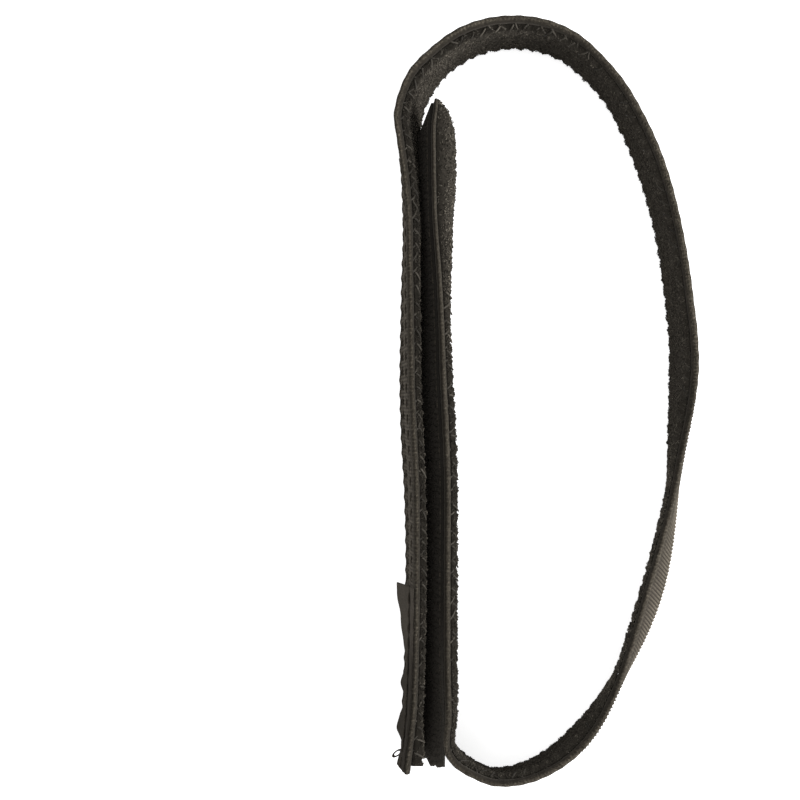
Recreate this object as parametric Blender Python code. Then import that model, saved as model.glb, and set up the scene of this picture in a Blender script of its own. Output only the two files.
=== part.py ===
"""Elastic hook-and-loop tourniquet, standing on its edge with its loop left open.

One long elastic band is lined with pile and wraps round to a closure: the outer tail lies beside
the inner end, which carries the hook tape. Metres, +Z up, +Y along the loop. The band's width stands
along Z, so every layer is a ribbon swept along one plan path and set off from it by its thickness.
"""
import bpy
from mathutils import Vector

# Driving sizes of the band and its layers
BAND_WIDTH = 0.050
WEBBING_THICKNESS = 0.0022
PILE_THICKNESS = 0.0020
PILE_MARGIN = 0.0036
LAYER_CLEARANCE = 0.0003

# Driving sizes of the loop in plan
LOOP_LENGTH = 0.2452
LOOP_REACH = 0.0934
TOP_APEX_REACH = 0.0354
BOTTOM_APEX_REACH = 0.0318
BOW_HEIGHT = 0.0140
SHOULDER_DROP = 0.0360
SHOULDER_BULGE = 0.0012
OUTER_RUN_BOW = 0.0018
CLOSURE_GAP = 0.0037
INNER_RUN_SHIFT = -0.0012
BEND_RISE = 0.0225
INNER_END_DROP = 0.0260

# Handle lengths that shape the round stretches of the loop
SHOULDER_HANDLE = 0.0210
TOP_HANDLE_LEFT = 0.0210
TOP_HANDLE_RIGHT = 0.0370
BOW_HANDLE_UP = 0.0590
BOW_HANDLE_DOWN = 0.0885
BOTTOM_HANDLE_RIGHT = 0.0300
BOTTOM_HANDLE_LEFT = 0.0110
INNER_RUN_HANDLE = 0.0130

# Driving sizes of the tail, its seams and its pile
TAIL_LENGTH = 0.203
TAIL_TIP_LENGTH = 0.099
TAIL_PILE_SETBACK = 0.0023
INNER_PILE_SETBACK = 0.0010
SEAM_WIDTH = 0.0009
SEAM_HEIGHT = 0.0004
SEAM_END_MARGIN = 0.0030
SEAM_FROM_NEAR_EDGE = 0.0067
SEAM_FROM_FAR_EDGE = 0.0107
ZIGZAG_HEIGHT = 0.0005
ZIGZAG_EDGE_MARGIN = 0.0008

# Driving sizes of the hook tape
HOOK_TAPE_WIDTH = 0.046
HOOK_TAPE_THICKNESS = 0.0016
HOOK_TIP_SETBACK = 0.0040
HOOK_FREE_END = 0.0140
HOOK_SEAM_MARGIN = 0.0025

# Driving sizes of the sewn label
LABEL_BASE_LENGTH = 0.058
LABEL_FLAP_LENGTH = 0.051
LABEL_FLAP_DEPTH = 0.0228
LABEL_BASE_DEPTH = 0.0290
LABEL_BASE_THICKNESS = 0.0004
LABEL_FLAP_THICKNESS = 0.0006
LABEL_STAND_OFF = 0.0006
LABEL_END_MARGIN = 0.0006

# Gap left where the band is divided at a hinge, so that the two pieces stay separate
HINGE_GAP = 0.0004

# Number of steps along each stretch of the path, in path order
STRETCH_STEPS = (18, 14, 26, 34, 14, 20)

# How far the near (upper) edge leans inward past the standing edge, at places along the path.
# A place counts stretches: 0 is the outer end, 1 the shoulder, 2 the top of the loop, 3 the bow,
# 4 the bottom of the loop, 5 the start of the inner run and 6 the inner end.
LEAN_PLACES = (
    (0.00, 0.0026),
    (0.55, 0.0022),
    (0.90, 0.0005),
    (1.14, -0.0032),
    (1.60, -0.0008),
    (2.50, 0.0020),
    (3.00, 0.0008),
    (3.14, 0.0042),
    (3.34, 0.0094),
    (3.62, 0.0044),
    (4.00, 0.0056),
    (5.45, 0.0050),
    (5.72, 0.0040),
    (5.88, 0.0032),
    (6.00, 0.0030),
)

# Where the inner run leaves the bottom bend: the place of its hinge along the path
HOOK_HINGE_PLACE = 4.5

# Share of its two inner handles' offset that the middle of a cubic curve takes up
CURVE_MIDDLE_SHARE = 0.75

# Steps nearer than this to an end of a stretch are left out, in places
STEP_SPARE = 1e-4

# Values that follow from the driving sizes
STACK = WEBBING_THICKNESS + LAYER_CLEARANCE + PILE_THICKNESS
HOOK_STACK = LAYER_CLEARANCE + HOOK_TAPE_THICKNESS
OUTER_X = -LOOP_REACH / 2
BOW_X = LOOP_REACH / 2
TOP_Y = LOOP_LENGTH / 2
BOTTOM_Y = -LOOP_LENGTH / 2
INNER_LOW_X = OUTER_X + STACK + CLOSURE_GAP + HOOK_STACK
SHOULDER = Vector((OUTER_X - SHOULDER_BULGE, TOP_Y - SHOULDER_DROP))
OUTER_END = Vector((OUTER_X, SHOULDER.y - TAIL_LENGTH))
TOP_APEX = Vector((OUTER_X + TOP_APEX_REACH, TOP_Y))
BOW = Vector((BOW_X, BOW_HEIGHT))
BOTTOM_APEX = Vector((OUTER_X + BOTTOM_APEX_REACH, BOTTOM_Y))
INNER_LOW = Vector((INNER_LOW_X, BOTTOM_Y + BEND_RISE))
INNER_END = Vector((INNER_LOW_X + INNER_RUN_SHIFT, TOP_Y - INNER_END_DROP))


def laid_on(outer_face, thickness):
    """The layer of a given thickness that lies on an outward face, with the layers' clearance."""
    return (outer_face - LAYER_CLEARANCE - thickness, outer_face - LAYER_CLEARANCE)


# Layers, measured inward from the webbing's outer face
WEBBING_LAYER = (0.0, WEBBING_THICKNESS)
PILE_LAYER = (WEBBING_THICKNESS + LAYER_CLEARANCE, STACK)
ZIGZAG_LAYER = (PILE_LAYER[0], PILE_LAYER[0] + ZIGZAG_HEIGHT)
SEAM_LAYER = laid_on(WEBBING_LAYER[0], SEAM_HEIGHT)
HOOK_LAYER = laid_on(WEBBING_LAYER[0], HOOK_TAPE_THICKNESS)
HOOK_SEAM_LAYER = laid_on(HOOK_LAYER[0], SEAM_HEIGHT)
LABEL_BASE_LAYER = laid_on(WEBBING_LAYER[0], LABEL_BASE_THICKNESS)
LABEL_SEAM_LAYER = laid_on(LABEL_BASE_LAYER[0], SEAM_HEIGHT)
LABEL_FLAP_LAYER = laid_on(LABEL_BASE_LAYER[0], LABEL_FLAP_THICKNESS)

# Bands of height up the width of the strap
FULL_HEIGHT = (0.0, BAND_WIDTH)
PILE_HEIGHT = (PILE_MARGIN, BAND_WIDTH - PILE_MARGIN)
ZIGZAG_FAR_HEIGHT = (ZIGZAG_EDGE_MARGIN, PILE_MARGIN - LAYER_CLEARANCE)
ZIGZAG_NEAR_HEIGHT = (BAND_WIDTH - PILE_MARGIN + LAYER_CLEARANCE, BAND_WIDTH - ZIGZAG_EDGE_MARGIN)
SEAM_NEAR_Z = BAND_WIDTH - SEAM_FROM_NEAR_EDGE
SEAM_FAR_Z = SEAM_FROM_FAR_EDGE
HOOK_HEIGHT = ((BAND_WIDTH - HOOK_TAPE_WIDTH) / 2, (BAND_WIDTH + HOOK_TAPE_WIDTH) / 2)
LABEL_TOP_Z = SEAM_NEAR_Z - LABEL_FLAP_DEPTH + LABEL_BASE_DEPTH
LABEL_BASE_HEIGHT = (LABEL_TOP_Z - LABEL_BASE_DEPTH, LABEL_TOP_Z)
LABEL_FLAP_TOP_Z = SEAM_NEAR_Z - SEAM_WIDTH / 2 - LAYER_CLEARANCE
LABEL_FLAP_HEIGHT = (LABEL_FLAP_TOP_Z - LABEL_FLAP_DEPTH, LABEL_FLAP_TOP_Z)


def seam_height(centre_z):
    """The band of height that one stitch row takes up round its centre line."""
    return (centre_z - SEAM_WIDTH / 2, centre_z + SEAM_WIDTH / 2)


def straight(start, end, bow=0.0):
    """A stretch from start to end whose middle stands off by bow to the right of its heading."""
    heading = (end - start).normalized()
    aside = Vector((heading.y, -heading.x)) * (bow / CURVE_MIDDLE_SHARE)
    return (start, start.lerp(end, 1 / 3) + aside, start.lerp(end, 2 / 3) + aside, end)


def stretches():
    """The path's six stretches as cubic curves, from the outer end to the inner end."""
    up = Vector((0.0, 1.0))
    right = Vector((1.0, 0.0))
    inner_heading = (INNER_END - INNER_LOW).normalized()
    shoulder_curve = (
        SHOULDER,
        SHOULDER + up * SHOULDER_HANDLE,
        TOP_APEX - right * TOP_HANDLE_LEFT,
        TOP_APEX,
    )
    bow_curve = (
        TOP_APEX,
        TOP_APEX + right * TOP_HANDLE_RIGHT,
        BOW + up * BOW_HANDLE_UP,
        BOW,
    )
    bottom_curve = (
        BOW,
        BOW - up * BOW_HANDLE_DOWN,
        BOTTOM_APEX + right * BOTTOM_HANDLE_RIGHT,
        BOTTOM_APEX,
    )
    bend_curve = (
        BOTTOM_APEX,
        BOTTOM_APEX - right * BOTTOM_HANDLE_LEFT,
        INNER_LOW - inner_heading * INNER_RUN_HANDLE,
        INNER_LOW,
    )
    return (
        straight(OUTER_END, SHOULDER, OUTER_RUN_BOW),
        shoulder_curve,
        bow_curve,
        bottom_curve,
        bend_curve,
        straight(INNER_LOW, INNER_END),
    )


PATH = stretches()
PATH_END = float(len(PATH))


def path_point(place):
    """The plan point and unit heading at a place along the path, with the speed there."""
    index = min(int(place), len(PATH) - 1)
    t = place - index
    a, b, c, d = PATH[index]
    point = a * (1 - t) ** 3 + b * (3 * t * (1 - t) ** 2) + c * (3 * t * t * (1 - t)) + d * t ** 3
    slope = (b - a) * (3 * (1 - t) ** 2) + (c - b) * (6 * t * (1 - t)) + (d - c) * (3 * t * t)
    return point, slope.normalized(), slope.length


def lean_slope(index):
    """The slope of the lean at one of its named places, level at both ends of the band."""
    if index in (0, len(LEAN_PLACES) - 1):
        return 0.0
    before, after = LEAN_PLACES[index - 1], LEAN_PLACES[index + 1]
    return (after[1] - before[1]) / (after[0] - before[0])


def lean_at(place):
    """How far the near edge leans inward at a place, on a smooth curve through the named places."""
    index = sum(1 for named, _ in LEAN_PLACES[1:-1] if named <= place)
    (low, low_lean), (high, high_lean) = LEAN_PLACES[index:index + 2]
    span = high - low
    t = (place - low) / span
    rise = t * t * (3 - 2 * t)
    leave = t * (1 - t) ** 2 * span * lean_slope(index)
    arrive = t * t * (t - 1) * span * lean_slope(index + 1)
    return low_lean + (high_lean - low_lean) * rise + leave + arrive


def shifted(place, distance):
    """The place that lies a small distance further along the path."""
    return place + distance / path_point(place)[2]


def frame_at(place):
    """Plan point, inward direction and lean of the band at a place."""
    point, heading, _ = path_point(place)
    return point, Vector((heading.y, -heading.x)), lean_at(place)


def all_places():
    """Every step along the whole path."""
    places = []
    for index, steps in enumerate(STRETCH_STEPS):
        places += [index + step / steps for step in range(steps)]
    return places + [PATH_END]


PLACES = all_places()


def frames_between(start, end):
    """Frames at both ends and at every step between them, so stacked layers bend alike."""
    inside = [place for place in PLACES if start + STEP_SPARE < place < end - STEP_SPARE]
    return [frame_at(place) for place in [start] + inside + [end]]


def band_point(frame, inward, z):
    """A point of the band: its offset inward from the outer face and its height."""
    point, inward_way, lean = frame
    offset = point + inward_way * (inward + lean * (z / BAND_WIDTH - 0.5))
    return Vector((offset.x, offset.y, z))


def ribbon(frames, layer, height, low_shift=0.0):
    """A closed ribbon along the frames. low_shift moves its lower edge further out."""
    outer, inner = layer
    low, high = height
    corners = ((outer - low_shift, low), (inner - low_shift, low), (inner, high), (outer, high))
    points = [band_point(frame, inward, z) for frame in frames for inward, z in corners]
    sides = len(corners)
    faces = [(0, 1, 2, 3)]
    for step in range(len(frames) - 1):
        base = step * sides
        far_outer, far_inner, near_inner, near_outer = range(base, base + sides)
        ahead = range(base + sides, base + 2 * sides)
        next_far_outer, next_far_inner, next_near_inner, next_near_outer = ahead
        faces.append((far_outer, next_far_outer, next_far_inner, far_inner))
        faces.append((near_inner, next_near_inner, next_near_outer, near_outer))
        # Both walls are split along one diagonal, so stacked layers stay parallel in a twist
        faces.append((far_inner, next_far_inner, next_near_inner))
        faces.append((far_inner, next_near_inner, near_inner))
        faces.append((next_near_outer, next_far_outer, far_outer))
        faces.append((near_outer, next_near_outer, far_outer))
    last = (len(frames) - 1) * sides
    faces.append((last + 3, last + 2, last + 1, last))
    return points, faces


# Places that divide the path
HOOK_END_START = shifted(HOOK_HINGE_PLACE, HINGE_GAP / 2)
LOOP_END = shifted(HOOK_HINGE_PLACE, -HINGE_GAP / 2)
RUN_LENGTH = (SHOULDER - OUTER_END).length
TIP_PLACE = TAIL_TIP_LENGTH / RUN_LENGTH
SHOULDER_PLACE = 1.0 - SEAM_END_MARGIN / RUN_LENGTH
HALF_GAP = HINGE_GAP / 2
TIP_RANGE = (0.0, shifted(TIP_PLACE, -HALF_GAP))
ROOT_RANGE = (shifted(TIP_PLACE, HALF_GAP), shifted(SHOULDER_PLACE, -HALF_GAP))
LOOP_RANGE = (shifted(SHOULDER_PLACE, HALF_GAP), LOOP_END)
HOOK_RANGE = (HOOK_END_START, PATH_END)


def hook_frames(top_setback, low_setback):
    """Frames of the hook tape: along the inner run, then straight on past the webbing's bend."""
    top = shifted(PATH_END, -top_setback)
    frames = frames_between(5.0, top)
    point, inward_way, lean = frames[0]
    heading = Vector((-inward_way.y, inward_way.x))
    free_end = point - heading * (HOOK_FREE_END - low_setback)
    return [(free_end, inward_way, lean)] + frames


def run_frames(from_end, length):
    """Frames along the outer run, from a distance to the outer end, for a length."""
    start = from_end / RUN_LENGTH
    return frames_between(start, start + length / RUN_LENGTH)


def make_solids():
    """Every solid by name: its mesh, its finish and the body that carries it."""
    solids = {}
    ranges = {
        "tail_tip": (TIP_RANGE, (shifted(0.0, TAIL_PILE_SETBACK), TIP_RANGE[1])),
        "tail_root": (ROOT_RANGE, ROOT_RANGE),
        "loop": (LOOP_RANGE, LOOP_RANGE),
        "hook_end": (HOOK_RANGE, (HOOK_RANGE[0], shifted(PATH_END, -INNER_PILE_SETBACK))),
    }
    for body, (webbing_range, pile_range) in ranges.items():
        webbing_frames = frames_between(*webbing_range)
        pile_frames = frames_between(*pile_range)
        solids[f"webbing_{body}"] = (ribbon(webbing_frames, WEBBING_LAYER, FULL_HEIGHT), "webbing", body)
        solids[f"pile_{body}"] = (ribbon(pile_frames, PILE_LAYER, PILE_HEIGHT), "pile", body)
        for edge, height in (("near", ZIGZAG_NEAR_HEIGHT), ("far", ZIGZAG_FAR_HEIGHT)):
            solids[f"zigzag_{edge}_{body}"] = (ribbon(pile_frames, ZIGZAG_LAYER, height), "thread", body)

    label_top = LABEL_END_MARGIN + LABEL_BASE_LENGTH
    near_row_start = label_top + SEAM_END_MARGIN / 2
    near_height = seam_height(SEAM_NEAR_Z)
    far_height = seam_height(SEAM_FAR_Z)
    tip_end = TAIL_TIP_LENGTH - HALF_GAP
    root_start = TAIL_TIP_LENGTH + HALF_GAP
    root_end = RUN_LENGTH - 2 * SEAM_END_MARGIN - SEAM_WIDTH
    rows = {
        "seam_near_tail_tip": (near_row_start, tip_end, near_height, "tail_tip"),
        "seam_far_tail_tip": (2 * SEAM_END_MARGIN, tip_end, far_height, "tail_tip"),
        "seam_near_tail_root": (root_start, root_end, near_height, "tail_root"),
        "seam_far_tail_root": (root_start, root_end, far_height, "tail_root"),
    }
    for name, (start, end, height, body) in rows.items():
        solids[name] = (ribbon(run_frames(start, end - start), SEAM_LAYER, height), "thread", body)
    cross_start = root_end + LAYER_CLEARANCE
    cross_height = (far_height[0], near_height[1])
    cross_frames = run_frames(cross_start, SEAM_WIDTH)
    solids["seam_cross_tail_root"] = (ribbon(cross_frames, SEAM_LAYER, cross_height), "thread", "tail_root")
    tack_height = (far_height[0], LABEL_BASE_HEIGHT[0] - LAYER_CLEARANCE)
    tack_frames = run_frames(2 * SEAM_END_MARGIN - LAYER_CLEARANCE - SEAM_WIDTH, SEAM_WIDTH)
    solids["seam_tack_tail_tip"] = (ribbon(tack_frames, SEAM_LAYER, tack_height), "thread", "tail_tip")

    tape_frames = hook_frames(HOOK_TIP_SETBACK, 0.0)
    solids["hook_tape"] = (ribbon(tape_frames, HOOK_LAYER, HOOK_HEIGHT), "hook", "hook_end")
    hook_row_frames = hook_frames(HOOK_TIP_SETBACK + SEAM_END_MARGIN, HOOK_FREE_END)[1:]
    hook_rows = (("near", HOOK_HEIGHT[1] - HOOK_SEAM_MARGIN), ("far", HOOK_HEIGHT[0] + HOOK_SEAM_MARGIN))
    for edge, centre_z in hook_rows:
        row = ribbon(hook_row_frames, HOOK_SEAM_LAYER, seam_height(centre_z))
        solids[f"hook_seam_{edge}"] = (row, "thread", "hook_end")

    base_frames = run_frames(LABEL_END_MARGIN, LABEL_BASE_LENGTH)
    solids["label_base"] = (ribbon(base_frames, LABEL_BASE_LAYER, LABEL_BASE_HEIGHT), "label", "tail_tip")
    label_row = ribbon(base_frames, LABEL_SEAM_LAYER, near_height)
    solids["label_seam"] = (label_row, "thread", "tail_tip")
    flap_frames = run_frames(label_top - LABEL_FLAP_LENGTH, LABEL_FLAP_LENGTH)
    flap = ribbon(flap_frames, LABEL_FLAP_LAYER, LABEL_FLAP_HEIGHT, LABEL_STAND_OFF)
    solids["label_flap"] = (flap, "label", "label_flap")
    return solids


def label_middle():
    """The place along the path at the middle of the label's flap."""
    return (LABEL_END_MARGIN + LABEL_BASE_LENGTH - LABEL_FLAP_LENGTH / 2) / RUN_LENGTH


def outermost(place):
    """How far the band's outer face reaches outward at a place, past its middle height."""
    return abs(lean_at(place)) / 2


def joint_points():
    """A point on each hinge axis, before the part is centred."""
    tip_frame = frame_at(TIP_PLACE)
    root_frame = frame_at(SHOULDER_PLACE)
    hook_frame = frame_at(HOOK_HINGE_PLACE)
    middle = BAND_WIDTH / 2
    seam_reach = LAYER_CLEARANCE + SEAM_HEIGHT
    flap_frame = frame_at(label_middle())
    return {
        "tail_tip": flat_point(tip_frame, -seam_reach - outermost(TIP_PLACE), middle),
        "tail_root": flat_point(root_frame, -seam_reach - outermost(SHOULDER_PLACE), middle),
        "hook_end": flat_point(hook_frame, STACK + outermost(HOOK_HINGE_PLACE), middle),
        "label_flap": band_point(flap_frame, LABEL_FLAP_LAYER[0], LABEL_FLAP_HEIGHT[1]),
    }


def flat_point(frame, inward, z):
    """A point set off from the path without any lean."""
    point, inward_way, _ = frame
    offset = point + inward_way * inward
    return Vector((offset.x, offset.y, z))


FINISHES = {
    "webbing": ((0.026, 0.023, 0.019, 1.0), 0.85),
    "pile": ((0.034, 0.031, 0.027, 1.0), 0.95),
    "thread": ((0.040, 0.036, 0.030, 1.0), 0.60),
    "hook": ((0.010, 0.010, 0.009, 1.0), 0.55),
    "label": ((0.045, 0.041, 0.036, 1.0), 0.45),
}


def make_material(name):
    """A plain material in the finish's colour."""
    colour, roughness = FINISHES[name]
    material = bpy.data.materials.new(name)
    material.use_nodes = True
    shader = material.node_tree.nodes["Principled BSDF"]
    shader.inputs["Base Color"].default_value = colour
    shader.inputs["Roughness"].default_value = roughness
    shader.inputs["Metallic"].default_value = 0.0
    material.diffuse_color = colour
    return material


def box_centre(solids):
    """The middle of the whole part's box in plan."""
    points = [point for (mesh, _, _) in solids.values() for point in mesh[0]]
    low = Vector((min(p.x for p in points), min(p.y for p in points), 0.0))
    high = Vector((max(p.x for p in points), max(p.y for p in points), 0.0))
    return (low + high) / 2


def build():
    """Make every object, centred on the part's box, each on its own body's empty."""
    for stale in list(bpy.data.objects):
        bpy.data.objects.remove(stale, do_unlink=True)
    solids = make_solids()
    centre = box_centre(solids)
    materials = {name: make_material(name) for name in FINISHES}
    anchors = {"loop": Vector((0.0, 0.0, 0.0))}
    for body, point in joint_points().items():
        anchors[body] = point - centre
    empties = {}
    for body, place in anchors.items():
        empty = bpy.data.objects.new(f"axis_{body}", None)
        empty.location = place
        bpy.context.collection.objects.link(empty)
        empties[body] = empty
        print("axis", body, [round(value, 6) for value in place])
    for name, ((points, faces), finish, body) in solids.items():
        mesh = bpy.data.meshes.new(name)
        local = [point - centre - anchors[body] for point in points]
        mesh.from_pydata([tuple(point) for point in local], [], faces)
        mesh.materials.append(materials[finish])
        piece = bpy.data.objects.new(name, mesh)
        piece.parent = empties[body]
        bpy.context.collection.objects.link(piece)
    label_heading = path_point(label_middle())[1]
    print("label axis heading", [round(value, 5) for value in label_heading])
    steps = frames_between(0.0, PATH_END)
    band_length = sum((after[0] - before[0]).length for before, after in zip(steps, steps[1:]))
    print("band length", round(band_length, 4))


build()
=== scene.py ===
# %% [markdown]
# An elastic tourniquet is one long strap that a first responder wraps round an arm or a leg. Its outer
# face is woven elastic, its inner face is lined with soft pile, and its inner end carries hook tape, so
# the tail sticks to it wherever it is pressed down. Here it stands on its edge with the loop open, and
# the camera looks straight down on it.
#
# The lesson's main idea is to work as the sewing room does. Every layer is modelled flat, as it lies on
# the cutting table, and then the whole stack is wrapped round the loop by one function. Flat work keeps
# weave, stitches and hooks easy to lay out, and the one function keeps all layers together.

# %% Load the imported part
import math

import bpy
import numpy as np
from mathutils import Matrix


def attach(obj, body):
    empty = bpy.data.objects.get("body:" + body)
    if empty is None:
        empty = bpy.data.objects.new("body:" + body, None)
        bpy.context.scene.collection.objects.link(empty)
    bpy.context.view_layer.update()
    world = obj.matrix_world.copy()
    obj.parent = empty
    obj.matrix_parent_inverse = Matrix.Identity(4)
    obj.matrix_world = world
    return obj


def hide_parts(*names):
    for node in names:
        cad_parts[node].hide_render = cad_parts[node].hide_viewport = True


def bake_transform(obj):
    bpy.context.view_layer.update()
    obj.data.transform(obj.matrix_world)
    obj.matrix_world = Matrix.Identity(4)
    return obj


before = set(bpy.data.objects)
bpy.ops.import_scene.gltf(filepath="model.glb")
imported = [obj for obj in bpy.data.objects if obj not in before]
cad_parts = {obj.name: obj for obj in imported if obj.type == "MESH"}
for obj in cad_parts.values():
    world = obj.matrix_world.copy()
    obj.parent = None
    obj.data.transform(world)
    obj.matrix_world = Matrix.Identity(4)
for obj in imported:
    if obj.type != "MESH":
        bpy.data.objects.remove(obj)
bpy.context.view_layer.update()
bpy.ops.object.select_all(action="DESELECT")
MM = 0.001
print("frame nodes", len(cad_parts))

# %% [markdown]
# The camera comes first. The photograph was taken from straight above, with the strap in the right half
# of the picture. A camera that points down needs no turning in Blender: an unturned camera already looks
# along -Z.

# %% Camera
CAMERA_FOOT = (-46.5, 2.8)
CAMERA_HEIGHT = 810.0
FOCAL_PIXELS = 2414
IMAGE_PIXELS = 800

camera_place = (CAMERA_FOOT[0] * MM, CAMERA_FOOT[1] * MM, CAMERA_HEIGHT * MM)
bpy.ops.object.camera_add(location=camera_place, rotation=(0.0, 0.0, 0.0))
camera = bpy.context.active_object
camera.data.lens = camera.data.sensor_width * FOCAL_PIXELS / IMAGE_PIXELS
bpy.context.scene.camera = camera
print("camera lens", round(camera.data.lens, 1), "mm")

# %% [markdown]
# The route is the plan line of the webbing's outer face, from the outer end of the tail, up over the
# top of the loop, down the bow, round the bottom and up the inner run. Six cubic curves hold it, as in
# the part's own source. The strap also leans: its upper edge stands further in or out than its lower
# edge, most of all where it twists at the lower right, and there the edges slide past each other too.
# On the stiff tail the lean shows only near the edges. Small ripples are added, since no strap hangs as
# straight as a drawing.
#
# Each table of pairs gives places and the values there. Leans are placed by the number of the curve, and
# the rest by millimetres along the strap, apart from end cuts and the tape's painted light, which go up
# its width.

# %% The route of the strap, in millimetres
ROUTE = (
    ((-45.88, -115.182), (-43.88, -47.501), (-44.28, 20.166), (-47.08, 87.818)),
    ((-47.08, 87.818), (-47.08, 108.818), (-31.48, 123.818), (-10.48, 123.818)),
    ((-10.48, 123.818), (26.52, 123.818), (47.52, 74.218), (47.52, 15.218)),
    ((47.52, 15.218), (47.52, -73.282), (15.92, -121.382), (-14.08, -121.382)),
    ((-14.08, -121.382), (-25.08, -121.382), (-35.701, -111.882), (-35.78, -98.882)),
    ((-35.78, -98.882), (-36.18, -33.315), (-36.58, 32.252), (-36.98, 97.818)),
)
LEANS = (
    (0.00, 1.0), (0.04, 2.0), (0.10, 3.0), (0.30, 3.0), (0.55, 3.8), (0.90, 0.6), (1.10, -4.1), (1.29, -4.1),
    (1.51, -2.0), (1.72, -1.2), (1.95, 0.0), (2.29, 1.5), (2.42, 1.6), (2.60, 0.6), (2.75, 0.7), (2.96, 0.2),
    (3.02, 0.0), (3.14, 5.1), (3.34, 10.5), (3.58, 4.7), (3.70, 3.4), (3.86, 4.7), (4.00, 5.4), (4.32, 4.4),
    (4.67, 2.7), (4.90, 5.2), (5.00, 5.8), (5.45, 5.8), (5.72, 4.8), (5.88, 4.0), (6.00, 3.8),
)
RIPPLES = (
    (0, 0.25), (8, 0.5), (25, 1.2), (60, 1.4), (88, 1.0), (106, 0.2), (124, -0.2), (147, 0.2), (160, 0.5),
    (172, 1.0), (186, 0.9), (203, 0.3), (220, 0.55), (232, 0.8), (244, 0.35), (260, -0.3), (280, -0.6),
    (292, 0.0), (304, 0.15), (316, 0.6), (345, 0.8), (376, 0.5), (388, -0.1), (405, 0.0), (428, 1.1),
    (470, 1.15), (505, 0.85), (520, 0.1), (532, -0.2), (560, -0.25), (568, 0.2), (580, -0.2), (592, 0.9),
    (611, 0.7), (643, 0.9), (669, 1.1), (701, 0.1), (717, -0.1), (733, -0.5), (755, -1.5), (770, -1.5),
    (780, -1.4), (788.8, -0.5),
)
STIFF_MIDDLE = ((0, 1.0), (150, 1.0), (205, 0.0), (788.8, 0.0))
TWISTED = ((0, 0.0), (385, 0.0), (428, 1.0), (508, 1.0), (545, 0.0), (788.8, 0.0))
TWIST_SHEAR = -5.0
END_BULGE = 1.5
END_BULGE_REACH = 8.0
END_BULGE_UP = 31.0
BAND_WIDTH = 50.0
ROUTE_STEPS = 800


def smooth_through(knots, where):
    """A smooth curve through the knots, level at its ends and beside level stretches."""
    at, value = np.array(knots, float).T
    slope = np.zeros_like(value)
    slope[1:-1] = (value[2:] - value[:-2]) / (at[2:] - at[:-2])
    level = value[1:] == value[:-1]
    slope[1:][level] = 0.0
    slope[:-1][level] = 0.0
    where = np.clip(where, at[0], at[-1])
    low = np.clip(np.searchsorted(at, where, side="right") - 1, 0, len(at) - 2)
    span = at[low + 1] - at[low]
    t = (where - at[low]) / span
    rise = (value[low + 1] - value[low]) * t * t * (3 - 2 * t)
    leave = t * (1 - t) ** 2 * span * slope[low]
    arrive = t * t * (t - 1) * span * slope[low + 1]
    return value[low] + rise + leave + arrive


def bump(distance, width):
    """A smooth hill, 1 at no distance and 0 from one width on."""
    share = np.clip(np.abs(distance) / width, 0.0, 1.0)
    return 0.5 + 0.5 * np.cos(math.pi * share)


def wave(along, pitch):
    """A wave that is 1 at every pitch and 0 half-way between."""
    return 0.5 + 0.5 * np.cos(2 * math.pi * along / pitch)


def sample_route():
    """Places, plan points and unit headings along the whole route."""
    t = np.linspace(0.0, 1.0, ROUTE_STEPS + 1)[:, None]
    places, spots, headings = [], [], []
    for index, stretch in enumerate(ROUTE):
        a, b, c, d = np.array(stretch)
        spots.append(a * (1 - t) ** 3 + b * 3 * t * (1 - t) ** 2 + c * 3 * t * t * (1 - t) + d * t ** 3)
        headings.append((b - a) * (1 - t) ** 2 + (c - b) * 2 * t * (1 - t) + (d - c) * t * t)
        places.append(index + t[:, 0])
    headings = np.concatenate(headings)
    headings /= np.linalg.norm(headings, axis=1)[:, None]
    return np.concatenate(places), np.concatenate(spots), headings


PLACES, SPOTS, HEADINGS = sample_route()
STEP_LENGTHS = np.linalg.norm(np.diff(SPOTS, axis=0), axis=1)
LENGTHS = np.concatenate([[0.0], np.cumsum(STEP_LENGTHS)])
STRAP_LENGTH = float(LENGTHS[-1])
LEAN_ALONG = smooth_through(LEANS, PLACES)
print("strap length", round(STRAP_LENGTH, 1), "mm")

# %% [markdown]
# The wrap turns flat work into the loop. On the flat table x runs along the strap, z up its width and
# -y is the side that ends up inside the loop. Blender's Curve modifier could do this too, but it turns
# the strap where it leans, and then the two edges would leave the table. Moving each point by hand
# keeps both edges level, just as the part's solids have them.

# %% Wrapping flat work round the loop
def read_points(piece):
    """A mesh's points as an array."""
    points = np.empty(len(piece.data.vertices) * 3)
    piece.data.vertices.foreach_get("co", points)
    return points.reshape(-1, 3)


def write_points(piece, points):
    """Put an array of points back into a mesh."""
    piece.data.vertices.foreach_set("co", np.ascontiguousarray(points, np.float32).ravel())
    piece.data.update()


def write_tone(piece, tone):
    """Give each point of a mesh a tone, its own colour with painted light and shade, which its finish reads.
    """
    piece.data.attributes.new("tone", "FLOAT", "POINT").data.foreach_set("value", tone.astype(np.float32))


def strap_frames(along, low, high):
    """Plan point, heading, lean and ripple along the strap, straight on past low and high."""
    held = np.clip(along, low, high)
    spot = np.stack([np.interp(held, LENGTHS, SPOTS[:, axis]) for axis in (0, 1)], axis=1)
    heading = np.stack([np.interp(held, LENGTHS, HEADINGS[:, axis]) for axis in (0, 1)], axis=1)
    heading /= np.linalg.norm(heading, axis=1)[:, None]
    spot = spot + heading * (along - held)[:, None]
    return spot, heading, np.interp(held, LENGTHS, LEAN_ALONG), smooth_through(RIPPLES, held)


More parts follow.
